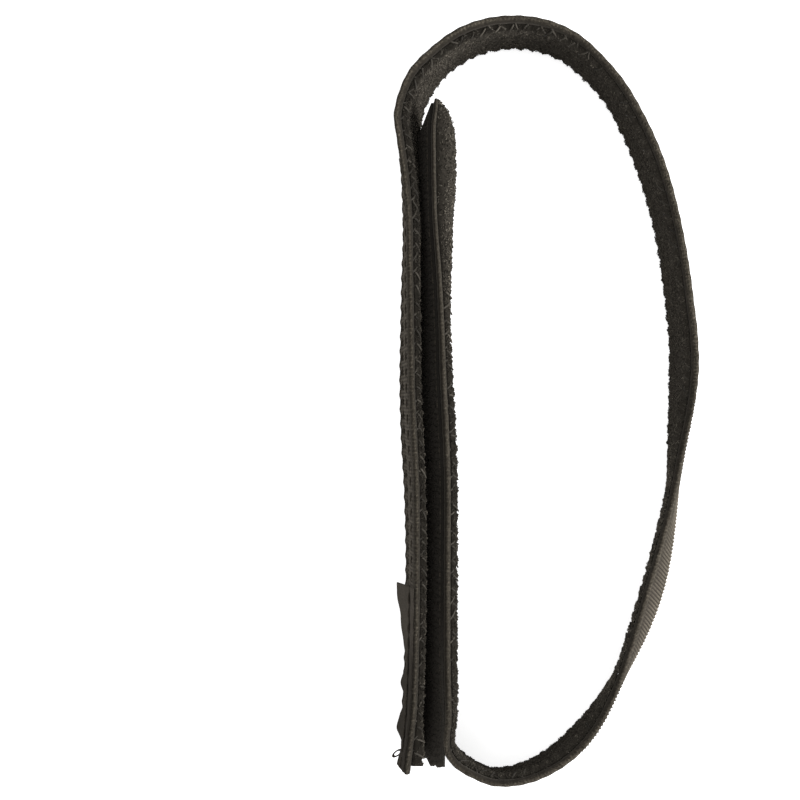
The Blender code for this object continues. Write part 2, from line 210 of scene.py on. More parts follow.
def wrapped(flat, low=0.0, high=STRAP_LENGTH):
    """Flat points in millimetres, bent round the loop, in metres."""
    along, outward, up = flat.T
    across = 2 * up / BAND_WIDTH - 1
    slid = along + 0.5 * TWIST_SHEAR * smooth_through(TWISTED, along) * across
    spot, heading, lean, ripple = strap_frames(slid, low, high)
    stiff = smooth_through(STIFF_MIDDLE, along)
    inward = -outward + 0.5 * lean * (across + stiff * (across ** 3 - across)) + ripple
    inward -= END_BULGE * bump(along, END_BULGE_REACH) * bump(up - END_BULGE_UP, BAND_WIDTH / 3)
    x = spot[:, 0] + heading[:, 1] * inward
    y = spot[:, 1] - heading[:, 0] * inward
    return np.stack([x, y, up], axis=1) * MM


def wrap_round(piece, low=0.0, high=STRAP_LENGTH):
    """Bend a piece that was modelled flat, in millimetres, round the loop."""
    write_points(piece, wrapped(read_points(piece), low, high))


def spot_on_strap(along, inward, up):
    """One point of the wrapped strap, in metres."""
    return tuple(float(value) for value in wrapped(np.array([[along, -inward, up]]))[0])


print("outer end", [round(value, 4) for value in spot_on_strap(0.0, 0.0, 0.0)])

# %% [markdown]
# The floor is a pale sheet, and the studio light is soft: a white world gives light from everywhere, a
# large lamp from the right gives the loop its bright and dark sides, and a weaker one overhead lightens
# the upper edges. The floor's material adds a white glow to the rays that are seen, so the floor looks
# white without lighting the strap, and it still shows the strap's shadow.

# %% Floor, world and lamps
FLOOR_SIZE = 6.0
FLOOR_DROP = 0.3 * MM
FLOOR_COLOUR = (0.86, 0.86, 0.86, 1.0)
FLOOR_GLOW = 0.70
WORLD_COLOUR = (1.0, 1.0, 1.0, 1.0)
WORLD_STRENGTH = 0.42


def new_material(name):
    """An empty node material and its output node."""
    material = bpy.data.materials.new(name)
    material.use_nodes = True
    material.node_tree.nodes.clear()
    output = material.node_tree.nodes.new("ShaderNodeOutputMaterial")
    return material, material.node_tree, output


def feed(tree, socket, value):
    """Link a socket to another node's output, or set it to a plain number or colour."""
    if isinstance(value, bpy.types.NodeSocket):
        tree.links.new(value, socket)
    else:
        socket.default_value = value


def math_node(tree, operation, *values):
    """A math node whose inputs are links or plain numbers."""
    node = tree.nodes.new("ShaderNodeMath")
    node.operation = operation
    for socket, value in zip(node.inputs, values):
        feed(tree, socket, value)
    return node.outputs[0]


def make_floor():
    """A large pale floor that keeps the strap's shadow."""
    bpy.ops.mesh.primitive_plane_add(size=FLOOR_SIZE, location=(0.0, 0.0, -FLOOR_DROP))
    floor = bpy.context.active_object
    floor.name = "floor"
    material, tree, output = new_material("floor_paper")
    paper = tree.nodes.new("ShaderNodeBsdfDiffuse")
    paper.inputs["Color"].default_value = FLOOR_COLOUR
    path = tree.nodes.new("ShaderNodeLightPath")
    seen = path.outputs["Is Camera Ray"]
    for kind in ("Is Glossy Ray", "Is Transmission Ray"):
        seen = math_node(tree, "MAXIMUM", seen, path.outputs[kind])
    glow = tree.nodes.new("ShaderNodeEmission")
    tree.links.new(math_node(tree, "MULTIPLY", seen, FLOOR_GLOW), glow.inputs["Strength"])
    add = tree.nodes.new("ShaderNodeAddShader")
    tree.links.new(paper.outputs[0], add.inputs[0])
    tree.links.new(glow.outputs[0], add.inputs[1])
    tree.links.new(add.outputs[0], output.inputs["Surface"])
    floor.data.materials.append(material)


def make_world():
    """A white world that lights the strap softly from all round."""
    world = bpy.data.worlds.new("studio")
    bpy.context.scene.world = world
    world.use_nodes = True
    background = world.node_tree.nodes["Background"]
    background.inputs["Color"].default_value = WORLD_COLOUR
    background.inputs["Strength"].default_value = WORLD_STRENGTH


def make_lamp(name, place, size, power):
    """A soft square lamp that points at the middle of the part."""
    bpy.ops.object.light_add(type="AREA", location=place)
    lamp = bpy.context.active_object
    lamp.name = name
    lamp.data.size = size
    lamp.data.energy = power
    reach = math.hypot(place[0], place[1])
    lamp.rotation_euler = (math.atan2(reach, place[2]), 0.0, math.atan2(place[1], place[0]) + math.pi / 2)


make_floor()
make_world()
make_lamp("key_lamp", place=(0.98, -0.15, 0.70), size=0.90, power=24.0)
make_lamp("fill_lamp", place=(-0.10, 0.05, 1.2), size=0.6, power=6.0)
bpy.context.scene.view_settings.view_transform = "Standard"
print("stage ready")

# %% [markdown]
# Three effects are node groups, each built once. The first gives every cloth and thread its uneven tone,
# from noise at two sizes, with a fine height for a bump. The second draws the woven face's cells from the
# strap's own UV map, which holds real millimetres along and across the strap, so the pattern follows
# every bend. The third marks the strap's two edges, where the weave gives way to the plainer selvage.

# %% Shared node groups
COLUMN_PITCH = 2.15
FINE_GRAIN = 2600.0
FINE_SPREAD, FINE_SHIFT = 1.6, -0.20
BROAD_GRAIN = 90.0
BROAD_SPREAD, BROAD_SHIFT = 0.8, 0.55


def new_group(name, inputs, outputs):
    """A shader node group with named sockets."""
    group = bpy.data.node_groups.new(name, "ShaderNodeTree")
    for label, kind, value in inputs:
        socket = group.interface.new_socket(label, in_out="INPUT", socket_type=kind)
        socket.default_value = value
    for label, kind in outputs:
        group.interface.new_socket(label, in_out="OUTPUT", socket_type=kind)
    source = group.nodes.new("NodeGroupInput")
    sink = group.nodes.new("NodeGroupOutput")
    return group, source, sink


def noise_node(tree, vector, scale, detail):
    """Noise between 0 and 1 at a scale."""
    noise = tree.nodes.new("ShaderNodeTexNoise")
    for label, value in (("Vector", vector), ("Scale", scale), ("Detail", detail)):
        feed(tree, noise.inputs[label], value)
    return noise.outputs["Fac"]


def colour_mix(tree, factor, dark, light):
    """A mix of two colours."""
    mix = tree.nodes.new("ShaderNodeMix")
    mix.data_type = "RGBA"
    for label, value in (("Factor", factor), ("A", dark), ("B", light)):
        feed(tree, mix.inputs[label], value)
    return mix.outputs["Result"]


def make_cloth_tone():
    """Uneven cloth tone: a colour between dark and light, and a fine height."""
    group, source, sink = new_group(
        "cloth_tone",
        (
            ("Vector", "NodeSocketVector", (0.0, 0.0, 0.0)),
            ("Dark", "NodeSocketColor", (0.0, 0.0, 0.0, 1.0)),
            ("Light", "NodeSocketColor", (1.0, 1.0, 1.0, 1.0)),
            ("Raised", "NodeSocketFloat", 1.0),
            ("Grain", "NodeSocketFloat", FINE_GRAIN),
        ),
        (("Color", "NodeSocketColor"), ("Height", "NodeSocketFloat")),
    )
    fine = noise_node(group, source.outputs["Vector"], source.outputs["Grain"], 2.0)
    broad = noise_node(group, source.outputs["Vector"], BROAD_GRAIN, 3.0)
    spread = math_node(group, "MULTIPLY_ADD", fine, FINE_SPREAD, FINE_SHIFT)
    shade = math_node(group, "MULTIPLY_ADD", broad, BROAD_SPREAD, BROAD_SHIFT)
    tone = math_node(group, "MULTIPLY", spread, shade)
    raised = math_node(group, "MULTIPLY", tone, source.outputs["Raised"])
    raised.node.use_clamp = True
    colour = colour_mix(group, raised, source.outputs["Dark"], source.outputs["Light"])
    group.links.new(colour, sink.inputs["Color"])
    group.links.new(fine, sink.inputs["Height"])
    return group


def make_woven_cells():
    """Woven threads, with painted shade in the holes between them, from millimetres along and across."""
    group, source, sink = new_group(
        "woven_cells",
        (
            ("Vector", "NodeSocketVector", (0.0, 0.0, 0.0)),
            ("Row", "NodeSocketFloat", 1.2),
            ("Column", "NodeSocketFloat", COLUMN_PITCH),
            ("Plain", "NodeSocketFloat", 0.0),
        ),
        (("Raised", "NodeSocketFloat"),),
    )
    parts = group.nodes.new("ShaderNodeSeparateXYZ")
    group.links.new(source.outputs["Vector"], parts.inputs[0])
    raised = []
    for axis, pitch in (("X", "Row"), ("Y", "Column")):
        turns = math_node(group, "DIVIDE", parts.outputs[axis], source.outputs[pitch])
        swing = math_node(group, "COSINE", math_node(group, "MULTIPLY", turns, 2 * math.pi))
        raised.append(math_node(group, "MULTIPLY_ADD", swing, 0.5, 0.5))
    knuckle = math_node(group, "MULTIPLY_ADD", raised[1], 0.5, 0.5)
    weave = math_node(group, "MULTIPLY", raised[0], knuckle)
    group.links.new(math_node(group, "MAXIMUM", weave, source.outputs["Plain"]), sink.inputs["Raised"])
    return group


def make_strap_margin():
    """A mask that is 1 along both edges of the strap and fades to 0 further in."""
    group, source, sink = new_group(
        "strap_margin",
        (
            ("Vector", "NodeSocketVector", (0.0, 0.0, 0.0)),
            ("Full", "NodeSocketFloat", 1.0),
            ("Gone", "NodeSocketFloat", 2.0),
        ),
        (("Margin", "NodeSocketFloat"),),
    )
    parts = group.nodes.new("ShaderNodeSeparateXYZ")
    group.links.new(source.outputs["Vector"], parts.inputs[0])
    other = math_node(group, "SUBTRACT", BAND_WIDTH, parts.outputs["Y"])
    from_edge = math_node(group, "MINIMUM", parts.outputs["Y"], other)
    fade = group.nodes.new("ShaderNodeMapRange")
    fade.interpolation_type = "SMOOTHSTEP"
    fade.inputs["To Min"].default_value = 1.0
    fade.inputs["To Max"].default_value = 0.0
    group.links.new(from_edge, fade.inputs["Value"])
    group.links.new(source.outputs["Full"], fade.inputs["From Min"])
    group.links.new(source.outputs["Gone"], fade.inputs["From Max"])
    group.links.new(fade.outputs["Result"], sink.inputs["Margin"])
    return group


cloth_tone = make_cloth_tone()
woven_cells = make_woven_cells()
strap_margin = make_strap_margin()
print("node groups", [group.name for group in bpy.data.node_groups])

# %% [markdown]
# Each finish is a Principled shader. The webbing is a dull brown-black elastic whose threads catch a
# little light, the pile is matt and furry, the zigzag thread is smoother and so glints, the hook tape
# is black moulded nylon, and the label is a tight satin. Sheen gives cloth the pale rim that real
# fibres show at a slant. Most meshes also carry a tone attribute, which scales the light colour and
# holds random tone as well as painted light and shade.

# %% Finishes
WEAVE_ROWS = 646
ROW_PITCH = STRAP_LENGTH / WEAVE_ROWS
SELVAGE_EVENNESS = 0.55
SELVAGE_FADE = (2.6, 3.4)
SHEEN_ROUGHNESS = 0.5
SHEEN_TINT = (1.0, 0.90, 0.78, 1.0)
BUMP_DISTANCE = 0.1 * MM


def place_group(tree, group, **values):
    """Put a node group in a material and set or link its inputs."""
    node = tree.nodes.new("ShaderNodeGroup")
    node.node_tree = group
    for label, value in values.items():
        feed(tree, node.inputs[label], value)
    return node


def woven_mask(tree):
    """Where the woven face is raised, with the selvages plainer."""
    uv = tree.nodes.new("ShaderNodeUVMap")
    uv.uv_map = "strap"
    full, gone = SELVAGE_FADE
    selvage = place_group(tree, strap_margin, Vector=uv.outputs[0], Full=full, Gone=gone)
    plain = math_node(tree, "MULTIPLY", selvage.outputs["Margin"], SELVAGE_EVENNESS)
    cells = place_group(
        tree, woven_cells, Vector=uv.outputs[0], Row=ROW_PITCH, Column=COLUMN_PITCH, Plain=plain,
    )
    return cells.outputs["Raised"]


def toned_colour(tree, colour):
    """A colour made lighter or darker by the mesh's tone attribute, which also holds painted light and shade.
    """
    tone = tree.nodes.new("ShaderNodeAttribute")
    tone.attribute_name = "tone"
    scale = tree.nodes.new("ShaderNodeVectorMath")
    scale.operation = "SCALE"
    scale.inputs[0].default_value = colour
    tree.links.new(tone.outputs["Fac"], scale.inputs["Scale"])
    return scale.outputs[0]


def cloth_finish(
    name, dark, light, roughness, sheen, fine_bump, grain=FINE_GRAIN, shine=0.0, toned=True, woven=False,
):
    """A cloth or thread finish with uneven tone, sheen and a fine bump."""
    material, tree, output = new_material(name)
    shader = tree.nodes.new("ShaderNodeBsdfPrincipled")
    where = tree.nodes.new("ShaderNodeTexCoord")
    tone = place_group(tree, cloth_tone, Vector=where.outputs["Object"], Dark=(*dark, 1.0), Grain=grain)
    feed(tree, tone.inputs["Light"], toned_colour(tree, light) if toned else (*light, 1.0))
    if woven:
        feed(tree, tone.inputs["Raised"], woven_mask(tree))
    tree.links.new(tone.outputs["Color"], shader.inputs["Base Color"])
    shader.inputs["Roughness"].default_value = roughness
    shader.inputs["Sheen Weight"].default_value = sheen
    shader.inputs["Sheen Roughness"].default_value = SHEEN_ROUGHNESS
    shader.inputs["Sheen Tint"].default_value = SHEEN_TINT
    shader.inputs["Specular IOR Level"].default_value = shine
    threads = tree.nodes.new("ShaderNodeBump")
    threads.inputs["Strength"].default_value = fine_bump
    threads.inputs["Distance"].default_value = BUMP_DISTANCE
    tree.links.new(tone.outputs["Height"], threads.inputs["Height"])
    tree.links.new(threads.outputs[0], shader.inputs["Normal"])
    tree.links.new(shader.outputs[0], output.inputs["Surface"])
    return material


FINISHES = {
    "webbing": cloth_finish(
        "webbing_elastic", (0.012, 0.0105, 0.0084), (0.126, 0.110, 0.0865),
        roughness=0.80, sheen=0.10, fine_bump=0.5, grain=1400.0, woven=True,
    ),
    "pile": cloth_finish(
        "pile_backing", (0.013, 0.0116, 0.0096), (0.056, 0.050, 0.041),
        roughness=0.95, sheen=0.05, fine_bump=0.8, grain=1500.0,
    ),
    "loops": cloth_finish(
        "pile_thread", (0.013, 0.0116, 0.0096), (0.105, 0.094, 0.077),
        roughness=0.85, sheen=0.05, fine_bump=0.3, grain=800.0,
    ),
    "thread": cloth_finish(
        "zigzag_thread", (0.014, 0.0124, 0.0101), (0.125, 0.111, 0.091),
        roughness=0.60, sheen=0.05, fine_bump=0.3, grain=300.0, shine=0.15,
    ),
    "dark_thread": cloth_finish(
        "seam_thread", (0.012, 0.0104, 0.0084), (0.060, 0.052, 0.042),
        roughness=0.60, sheen=0.05, fine_bump=0.3, toned=False,
    ),
    "hook": cloth_finish(
        "hook_nylon", (0.007, 0.0064, 0.0056), (0.050, 0.046, 0.040),
        roughness=0.60, sheen=0.05, fine_bump=0.2,
    ),
    "label": cloth_finish(
        "label_satin", (0.014, 0.012, 0.0098), (0.042, 0.037, 0.031),
        roughness=0.60, sheen=0.04, fine_bump=0.2,
    ),
}


def finish_piece(piece, finish, name):
    """Name a piece, give it its finish, and round its shading."""
    piece.name = name
    piece.data.name = name
    piece.data.materials.clear()
    piece.data.materials.append(FINISHES[finish])
    piece.data.polygons.foreach_set("use_smooth", [True] * len(piece.data.polygons))
    print("made", name, len(piece.data.polygons), "faces")


print("finishes", sorted(FINISHES))

# %% [markdown]
# The strap's joints are bends: the tail peels off in two folds, and the inner end swings into the loop.
# A piece of cloth can only bend across one joint, so each long layer is cut into four lengths, each
# cut where nothing bends. The table of bends lists, for each length that crosses one, its two bodies
# and where its fold starts and ends, but here only the loop's length is attached to its body. The
# tail's folds lie mostly beyond their hinges, towards its tip, because a fold centred on the hinge
# bulges into the closed runs.

# %% The four lengths and how they move
LENGTH_ROWS = {"tail": (0, 123), "shoulder": (123, 246), "loop": (246, 446), "hook_end": (446, WEAVE_ROWS)}
NODE_ENDINGS = {"tail": "tail_tip", "shoulder": "tail_root", "loop": "loop", "hook_end": "hook_end"}
SPANS = {name: (low * ROW_PITCH, high * ROW_PITCH) for name, (low, high) in LENGTH_ROWS.items()}
BENDS = {
    "tail": ("tail_root", "tail_tip", 107.0, 75.0),
    "shoulder": ("loop", "tail_root", 208.0, 172.0),
    "hook_end": ("loop", "hook_end", 560.0, 588.0),
}


def move_with_strap(piece, length):
    """Attach a piece on the loop's length to its body, and only bake the transform of any other piece."""
    if length in BENDS:
        before, after, start, end = BENDS[length]
        middle = BAND_WIDTH / 2
        spot_on_strap(start, 0.0, middle)
        spot_on_strap(end, 0.0, middle)
        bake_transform(piece)
    else:
        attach(piece, length)


print("spans", {name: [round(value, 1) for value in span] for name, span in SPANS.items()})

# %% [markdown]
# The webbing is a flat tube: a grid is rolled round the strap's section and its long edges are merged.
# The section is not a plain rectangle. Each edge of the webbing is a selvage, a round cord that slopes
# down to the pile, and a groove parts it from the woven face. The weave itself is real relief, three grid
# steps to a row, because the twist at the lower right shows its ribs against the light.

# %% Rolling a layer of the strap
WEBBING_THICKNESS = 2.1
SELVAGE_WIDTH = 3.1
FACE_INSET = 1.0
OUTER_STATIONS = 113
CORD_CENTRE = (0.70, 49.15)
CORD_RADII = (0.70, 0.85)
CORD_ANGLES = (160, 125, 90, 60, 35)
SELVAGE_SLOPE = (
    (1.48, 49.20, 0.5, 0.85), (1.72, 48.75, 0.7, 0.7), (1.93, 48.25, 0.85, 0.5), (2.06, 47.75, 0.97, 0.2),
)
INNER_STATIONS = (47.2, 46.7, 46.2, 45.6, 45.0, 40.0, 25.0, 10.0, 5.0, 4.4, 3.8, 3.3, 2.8)
MERGE_DISTANCE = 1e-4


def cord_arc():
    """Stations over the round cord of the upper selvage: inward, up and the way out of the surface."""
    rows = []
    for angle in np.radians(CORD_ANGLES):
        way_in, way_up = math.cos(angle), math.sin(angle)
        inward = CORD_CENTRE[0] + CORD_RADII[0] * way_in
        rows.append((inward, CORD_CENTRE[1] + CORD_RADII[1] * way_up, way_in, way_up))
    return rows


def mirrored(stations):
    """The stations of one edge of a section, turned over to the other edge."""
    return [(inward, BAND_WIDTH - up, way_in, -way_up) for inward, up, way_in, way_up in reversed(stations)]


def webbing_section():
    """Stations round the webbing: outer face, upper selvage, inner face and lower selvage."""
    face = np.linspace(FACE_INSET, BAND_WIDTH - FACE_INSET, OUTER_STATIONS)
    outer = [(0.0, up, -1.0, 0.0) for up in face]
    upper = [*cord_arc(), *SELVAGE_SLOPE]
    inner = [(WEBBING_THICKNESS, up, 1.0, 0.0) for up in INNER_STATIONS]
    return np.array(outer + upper + inner + mirrored(upper))


def roll_layer(span, steps, section, relief):
    """A closed tube along the flat strap: a grid rolled round a section, with relief on its faces."""
    bpy.ops.object.select_all(action="DESELECT")
    around = len(section)
    bpy.ops.mesh.primitive_grid_add(x_subdivisions=steps, y_subdivisions=around, size=1.0)
    piece = bpy.context.active_object
    grid = read_points(piece)
    along = span[0] + (grid[:, 0] + 0.5) * (span[1] - span[0])
    station = np.rint((grid[:, 1] + 0.5) * around).astype(int) % around
    inward, up, way_in, way_up = section[station].T
    along, inward, up, tone = relief(along, inward, up, way_in, way_up)
    write_points(piece, np.stack([along, -inward, up], axis=1))
    write_tone(piece, tone)
    corners = np.empty(len(piece.data.loops), np.int32)
    piece.data.loops.foreach_get("vertex_index", corners)
    uv = piece.data.uv_layers[0]
    uv.name = "strap"
    uv.data.foreach_set("uv", np.stack([along[corners], up[corners]], axis=1).astype(np.float32).ravel())
    bpy.ops.object.mode_set(mode="EDIT")
    bpy.ops.mesh.select_all(action="SELECT")
    bpy.ops.mesh.remove_doubles(threshold=MERGE_DISTANCE)
    bpy.ops.mesh.fill_holes(sides=0)
    bpy.ops.mesh.normals_make_consistent(inside=False)
    bpy.ops.object.mode_set(mode="OBJECT")
    return piece


def lay_on_strap(piece, name, finish, *nodes, low=0.0):
    """Wrap a flat piece round the loop, finish it and hide the solids it stands for."""
    wrap_round(piece, low)
    finish_piece(piece, finish, name)
    if nodes:
        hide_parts(*nodes)


webbing_outline = webbing_section()
print("webbing section", len(webbing_outline), "stations")

# %% [markdown]
# The webbing's edge isn't one tone. Its outer cord is bright on one side of the loop and in shade on the
# other, and single threads of it glint. Soft light alone hardly shows that, so the tone is given at six
# stations, from the outer face to the groove beside the pile, for a few places along the strap.
# The twisted face is given painted light as well, lightest along its lower edge and darker towards its
# upper edge.

# %% The webbing's tone
TONE_STATIONS = (0.0, 0.35, 0.75, 1.15, 1.5, 2.1)
TAIL_CORDS = (0.42, 0.55, 0.85, 0.50, 0.22, 0.10)
TOP_CORDS = (0.50, 0.62, 0.92, 0.80, 0.40, 0.10)
WALL_CORDS = (0.67, 0.80, 1.02, 1.12, 1.15, 0.25)
TWIST_CORDS = (1.05, 1.00, 0.90, 0.75, 0.55, 0.40)
BOTTOM_CORDS = (0.95, 0.80, 0.62, 0.36, 0.16, 0.05)
INNER_CORDS = (0.19, 0.28, 0.48, 0.58, 0.58, 0.42)
CORDS_ALONG = (
    (190, TAIL_CORDS), (215, TOP_CORDS), (265, TOP_CORDS), (300, WALL_CORDS), (390, WALL_CORDS),
    (418, TWIST_CORDS), (508, TWIST_CORDS), (535, WALL_CORDS), (556, BOTTOM_CORDS), (580, BOTTOM_CORDS),
    (605, INNER_CORDS),
)
OUTER_SKIN = 0.5
TONE_FADE = 0.8
SELVAGE_SPECKLE = 0.55
BRIGHTEST_SPECK = 1.5
# Painted light on the twisted face: lighter low down, darker towards the upper edge.
TWIST_LIGHT_LOW, TWIST_LIGHT_FALL = 1.4, 1.8
rng = np.random.default_rng(7)


def edge_distance(up):
    """How far a height on the strap is from the nearer edge."""
    return np.minimum(up, BAND_WIDTH - up)


def selvage_tone(along, inward, up):
    """How light each selvage is, from its outer cord to the groove, speckled thread by thread."""
    places, cords = zip(*CORDS_ALONG)
    tone = np.zeros_like(along)
    for index, only_here in enumerate(np.eye(len(TONE_STATIONS))):
        here = np.interp(along, places, [cord[index] for cord in cords])
        tone += here * np.interp(inward, TONE_STATIONS, only_here)
    near_edge = np.clip((SELVAGE_WIDTH - edge_distance(up)) / TONE_FADE, 0.0, 1.0)
    margin = np.where(inward > OUTER_SKIN, 1.0, near_edge)
    speckle = np.minimum(np.exp(SELVAGE_SPECKLE * rng.normal(0.0, 1.0, len(along))), BRIGHTEST_SPECK)
    return 1 + (tone * speckle - 1) * margin


def twist_painted_light(along, up):
    """Painted light on the twisted face, lightest along its lower edge and darker towards its upper edge."""
    return 1 + smooth_through(TWISTED, along) * (TWIST_LIGHT_LOW - TWIST_LIGHT_FALL * up / BAND_WIDTH)


print("selvage tones at", len(CORDS_ALONG), "places")

# %% [markdown]
# The relief has a few parts. Weft bars and warp columns make the woven face. The selvages stand a little
# proud beside a groove. The zigzag stitching draws the edges in at each stitch, so both edges are
# scalloped. The lockstitch rows on the tail press fine trenches into the weave and pucker it. Last, the
# ends are thinned, and the inner end is cut on a slant.

# %% The webbing's relief
WEAVE_DEPTHS = ((0, 0.22), (200, 0.22), (400, 0.30), (440, 0.60), (510, 0.60), (560, 0.30), (788.8, 0.30))
COLUMN_WAVER = 0.16
KNUCKLE = 0.45
FACE_FADE = 0.6
TWIST_NARROWS = 0.75
GROOVE_DEPTH, GROOVE_REACH = 0.25, 0.55
SELVAGE_HEIGHT, SELVAGE_REACH = 0.20, 1.6
SELVAGE_MIDDLE = 1.5
SELVAGE_RIB = 0.025
SCALLOP_PITCH = 4.9
SCALLOP_DEPTH = 0.22
SEAM_ROWS = (43.3, 10.7)
SEAM_SPAN = (6.0, 194.0)
STITCH_PITCH = 4 * ROW_PITCH
PUCKER_DEPTH, PUCKER_REACH = 0.30, 6.0
PUCKER_LEVEL = 0.6
TRENCH_DEPTH, TRENCH_REACH = 0.12, 0.8
NOTCH_DEPTH, NOTCH_REACH = 1.00, 9.0
NOTCH_UP = 1.0
FACING_OUT = -0.99
END_ROUND = 1.4
END_TAPER = 0.2
THIN_ENDS = ((0, 1.0), (690, 1.0), (745, 0.75), (788.8, 0.70))
INNER_END_REACH = 25.0
INNER_END_CUTS = ((0, 8.4), (20, 7.6), (33, 5.2), (42, 2.8), (46, 0.9), (48, 0.2), (50, 0.0))


def woven_relief(along, up):
    """How far the woven face stands out: bars of weft, knuckled where columns of warp cross them."""
    waver = COLUMN_WAVER * np.sin(math.pi * along / ROW_PITCH)
    knuckle = 1 - KNUCKLE + KNUCKLE * wave(up + waver, COLUMN_PITCH)
    return smooth_through(WEAVE_DEPTHS, along) * wave(along, ROW_PITCH) * knuckle


def face_relief(along, up):
    """The outer face: weave in the middle, a groove on each side of it, and the selvages."""
    from_edge = edge_distance(up)
    twisted = smooth_through(TWISTED, along)
    selvage_width = SELVAGE_WIDTH * (1 - TWIST_NARROWS * twisted)
    face = np.clip((from_edge - selvage_width) / FACE_FADE, 0.0, 1.0)
    groove = GROOVE_DEPTH * bump(from_edge - SELVAGE_WIDTH, GROOVE_REACH)
    selvage = SELVAGE_HEIGHT * bump(from_edge - SELVAGE_MIDDLE, SELVAGE_REACH)
    return face * woven_relief(along, up) + (selvage - groove) * (1 - twisted)


def edge_relief(along, up):
    """Scallops of both edges, with the fine ribs of the selvage."""
    edge = np.clip(1 - edge_distance(up) / SELVAGE_WIDTH, 0.0, 1.0)
    rib = SELVAGE_RIB * np.cos(2 * math.pi * along / ROW_PITCH)
    return (rib - SCALLOP_DEPTH * wave(along, SCALLOP_PITCH)) * edge


def seam_relief(along, up):
    """What the tail's stitches pull in: notches low down, puckers and a trench under each row."""
    pulled = wave(along, STITCH_PITCH)
    raised = -NOTCH_DEPTH * pulled ** 2 * bump(up - NOTCH_UP, NOTCH_REACH)
    for row in SEAM_ROWS:
        raised += PUCKER_DEPTH * (1 - pulled - PUCKER_LEVEL) * bump(up - row, PUCKER_REACH)
        raised -= TRENCH_DEPTH * bump(up - row, TRENCH_REACH)
    return raised


def slanted_end(along, up, cuts=INNER_END_CUTS):
    """Draw the strap's inner end back below its upper corner, as its cut is slanted."""
    reach = np.clip((along - STRAP_LENGTH + INNER_END_REACH) / INNER_END_REACH, 0.0, 1.0)
    return along - smooth_through(cuts, up) * reach ** 2


def webbing_relief(along, inward, up, way_in, way_up):
    """Relief, thinned ends and tone of the webbing."""
    tone = selvage_tone(along, inward, up) * twist_painted_light(along, up)
    outer = way_in < FACING_OUT
    on_tail = outer & (along > SEAM_SPAN[0]) & (along < SEAM_SPAN[1])
    raised = np.where(outer, face_relief(along, up), 0.0) + edge_relief(along, up)
    raised += np.where(on_tail, seam_relief(along, up), 0.0)
    to_end = np.minimum(along, STRAP_LENGTH - along)
    taper = 1 - END_TAPER * (1 - np.clip(to_end / END_ROUND, 0.0, 1.0)) ** 2
    middle = WEBBING_THICKNESS / 2
    inward = middle + (inward + raised * way_in - middle) * taper
    inward *= smooth_through(THIN_ENDS, along)
    return slanted_end(along, up), inward, up + raised * way_up, tone


print("scallops", int(STRAP_LENGTH / SCALLOP_PITCH), "on each edge")

# %% [markdown]
# Each length of webbing is now rolled flat and laid on the strap's route. A piece names the solids that
# it stands for, so that those are hidden, and the piece on the loop's length rides on its body.

# %% Webbing
STEPS_PER_ROW = 3
for length, span in SPANS.items():
    low, high = LENGTH_ROWS[length]
    piece = roll_layer(span, (high - low) * STEPS_PER_ROW, webbing_outline, webbing_relief)
    lay_on_strap(piece, f"woven_{length}", "webbing", f"webbing_{NODE_ENDINGS[length]}")
    move_with_strap(piece, length)

# %% [markdown]
# The lining is a strip of loop pile, sewn down along both edges. Its backing is a soft slab that the
# stitches pinch at the edges, rolled the same way as the webbing. It thickens low in the closure and
# fluffs up at the inner end, where its sewing stops.

# %% Pile slab
PILE_BACK = 2.2
PILE_FACE = 4.5
PILE_MARGIN = 3.1
PILE_ROUND = 0.9
FACE_STATIONS = 40
BACK_INSET = 0.6
PILE_START = 2.3
PILE_END_GAP = 0.1
PILE_SPANS = {
    **SPANS,
    "tail": (PILE_START, SPANS["tail"][1]),
    "hook_end": (SPANS["hook_end"][0], STRAP_LENGTH - PILE_END_GAP),
}
PILE_SWELLS = (
    (0, 1.5), (8, 1.0), (18, -0.4), (200, -0.4), (215, 0.0), (415, 0.0), (440, -1.0), (500, -1.0), (530, 0.0),
    (545, 0.0), (560, -0.5), (588, -0.5), (605, 0.0), (690, 0.0), (715, -0.3), (725, 0.1), (732, 0.6),
    (744, 2.0), (753, 2.9), (760, 3.7), (775, 4.0), (778, 3.8), (780.7, 3.3), (783.4, 2.3), (785.3, 1.2),
    (787.5, -0.8), (788.8, -1.8),
)
CLOSURE_SWELLS = ((0, 0.0), (12, 2.0), (198, 2.0), (222, 0.0), (788.8, 0.0))
FLUFFED_FROM = 728.0
FLUFF_RAMP = 12.0
PINCH_PITCH = 4.45
PINCH_DEPTH = 1.1
PINCH_REACH = 5.0
PINCH_SHARPNESS = 1.5
NEAR_PINCH = 0.45


def pile_section():
    """Stations round the pile slab, close together on the face that shows."""
    low, high = PILE_MARGIN, BAND_WIDTH - PILE_MARGIN
    lower = [
        (PILE_BACK + 0.3, low, 0.0, -1.0),
        (PILE_BACK + 0.8, low + 0.15, 0.5, -0.85),
        (PILE_FACE - 0.35, low + 0.45, 0.85, -0.5),
    ]
    face_ups = np.linspace(low + PILE_ROUND, high - PILE_ROUND, FACE_STATIONS)
    face = [(PILE_FACE, up, 1.0, 0.0) for up in face_ups]
    back = [(PILE_BACK, up, -1.0, 0.0) for up in (high - BACK_INSET, low + BACK_INSET)]
    return np.array(lower + face + mirrored(lower) + back)


def pile_pinch(along, up):
    """How far the zigzag stitches press the pile down near its edges, from 0 to 1."""
    near = np.clip(1 - (edge_distance(up) - PILE_MARGIN) / PINCH_REACH, 0.0, 1.0)
    sewn = np.clip((FLUFFED_FROM - along) / FLUFF_RAMP, 0.0, 1.0)
    strength = np.where(up > BAND_WIDTH / 2, NEAR_PINCH, 1.0)
    return strength * sewn * near * wave(along, PINCH_PITCH) ** PINCH_SHARPNESS


